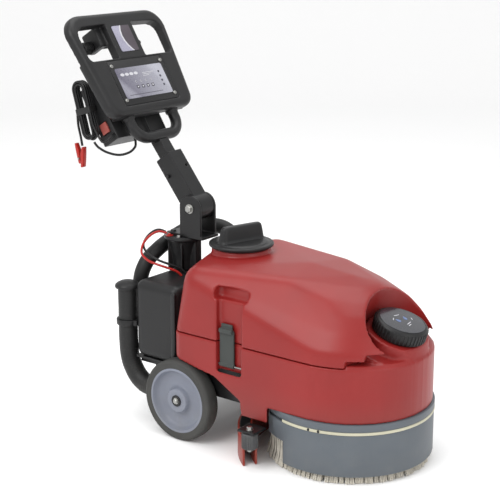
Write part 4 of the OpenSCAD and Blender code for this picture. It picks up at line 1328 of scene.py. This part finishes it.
class SCRUBBER_OT_rod(Builder, bpy.types.Operator):
    """Adds the dead-man rod with its knurled knob and paddle"""

    bl_idname = "scrubber.rod"
    bl_label = "Add Dead-Man Rod"

    def execute(self, context):
        along = turned(90, "Y")
        shapes = [shifted(drum(6, -112, 112, 1, 32), along), shifted(drum(15, -98, -68, 3, 48), along),
                  block((52, -10, -4), (112, 10, 4), 3, 3)]
        rod = fused(made("rod_with_paddle", PANEL @ moved(*ROD_AT), *shapes), 1.2 * MM, 1)
        keep(rod, "deadman_rod", "black_plastic", "deadman_rod", sharp=60)
        rib = unplaced("rib", block((14.4, -0.9, -95), (16, 0.9, -71), 0.4, 1))
        keep(ring_of("rod_knob_ribs", rib, 28, 0.0, "black_plastic", PANEL @ moved(*ROD_AT) @ along),
             "deadman_rod", "black_plastic")
        return {"FINISHED"}


class SCRUBBER_OT_charger(Builder, bpy.types.Operator):
    """Adds the charger with its cooling fins, rocker and cable sleeve"""

    bl_idname = "scrubber.charger"
    bl_label = "Add Charger"

    def execute(self, context):
        keep(cast("charger_case", "charger", 1.7 * MM, 2), "handle", "black_plastic", "charger", sharp=60)
        fin = unplaced("fin", block((-96, -1.4, -112.6), (46, 1.4, -104), 0.6, 1))
        stood = PANEL @ moved(0, -152, 0) @ turned(90, "Z")
        fin.data.transform(turned(-90, "Z"))
        keep(row_of("charger_fins", fin, 11, 12.0, "black_plastic", stood), "handle", "black_plastic")
        keep(copied("charger_rocker_key", "charger_switch", 0.7 * MM), "charger_switch", "switch_red",
             "charger_switch")
        return {"FINISHED"}


class SCRUBBER_OT_inner(Builder, bpy.types.Operator):
    """Finishes the frame's own pieces: chassis, gearbox, motor, batteries and clean-water vessel"""

    bl_idname = "scrubber.inner"
    bl_label = "Finish Inner Pieces"

    def execute(self, context):
        dress("frame_black", "chassis_frame")
        dress("cast_metal", "gearbox")
        dress("motor_black", "brush_motor")
        dress("battery_case", "battery_left", "battery_right")
        dress("tank_white", "clean_tank")
        return {"FINISHED"}


OPERATORS = (SCRUBBER_OT_stage, SCRUBBER_OT_cords, SCRUBBER_OT_deck, SCRUBBER_OT_brush, SCRUBBER_OT_shells,
             SCRUBBER_OT_lid, SCRUBBER_OT_cap, SCRUBBER_OT_wheels, SCRUBBER_OT_straps, SCRUBBER_OT_housing,
             SCRUBBER_OT_hoses, SCRUBBER_OT_squeegee, SCRUBBER_OT_arm, SCRUBBER_OT_handle, SCRUBBER_OT_panel,
             SCRUBBER_OT_rod, SCRUBBER_OT_charger, SCRUBBER_OT_inner)


class SCRUBBER_PT_sidebar(bpy.types.Panel):
    """Lists the scrubber's pieces, sizes and colours"""

    bl_idname = "SCRUBBER_PT_sidebar"
    bl_label = "Floor Scrubber"
    bl_space_type = "VIEW_3D"
    bl_region_type = "UI"
    bl_category = "Scrubber"

    def draw(self, context):
        for group in (context.scene.scrubber_sizes, context.scene.scrubber_colours):
            for name in group.__annotations__:
                self.layout.prop(group, name)
        for operator in OPERATORS:
            self.layout.operator(operator.bl_idname)


CLASSES = (ScrubberSizes, ScrubberColours, *OPERATORS, SCRUBBER_PT_sidebar)


def register():
    for cls in CLASSES:
        bpy.utils.register_class(cls)
    bpy.types.Scene.scrubber_sizes = bpy.props.PointerProperty(type=ScrubberSizes)
    bpy.types.Scene.scrubber_colours = bpy.props.PointerProperty(type=ScrubberColours)


def unregister():
    del bpy.types.Scene.scrubber_colours
    del bpy.types.Scene.scrubber_sizes
    for cls in reversed(CLASSES):
        bpy.utils.unregister_class(cls)


def main():
    register()
    for operator in OPERATORS:
        getattr(bpy.ops.scrubber, operator.bl_idname.split(".")[1])()


if __name__ == "__main__":
    main()
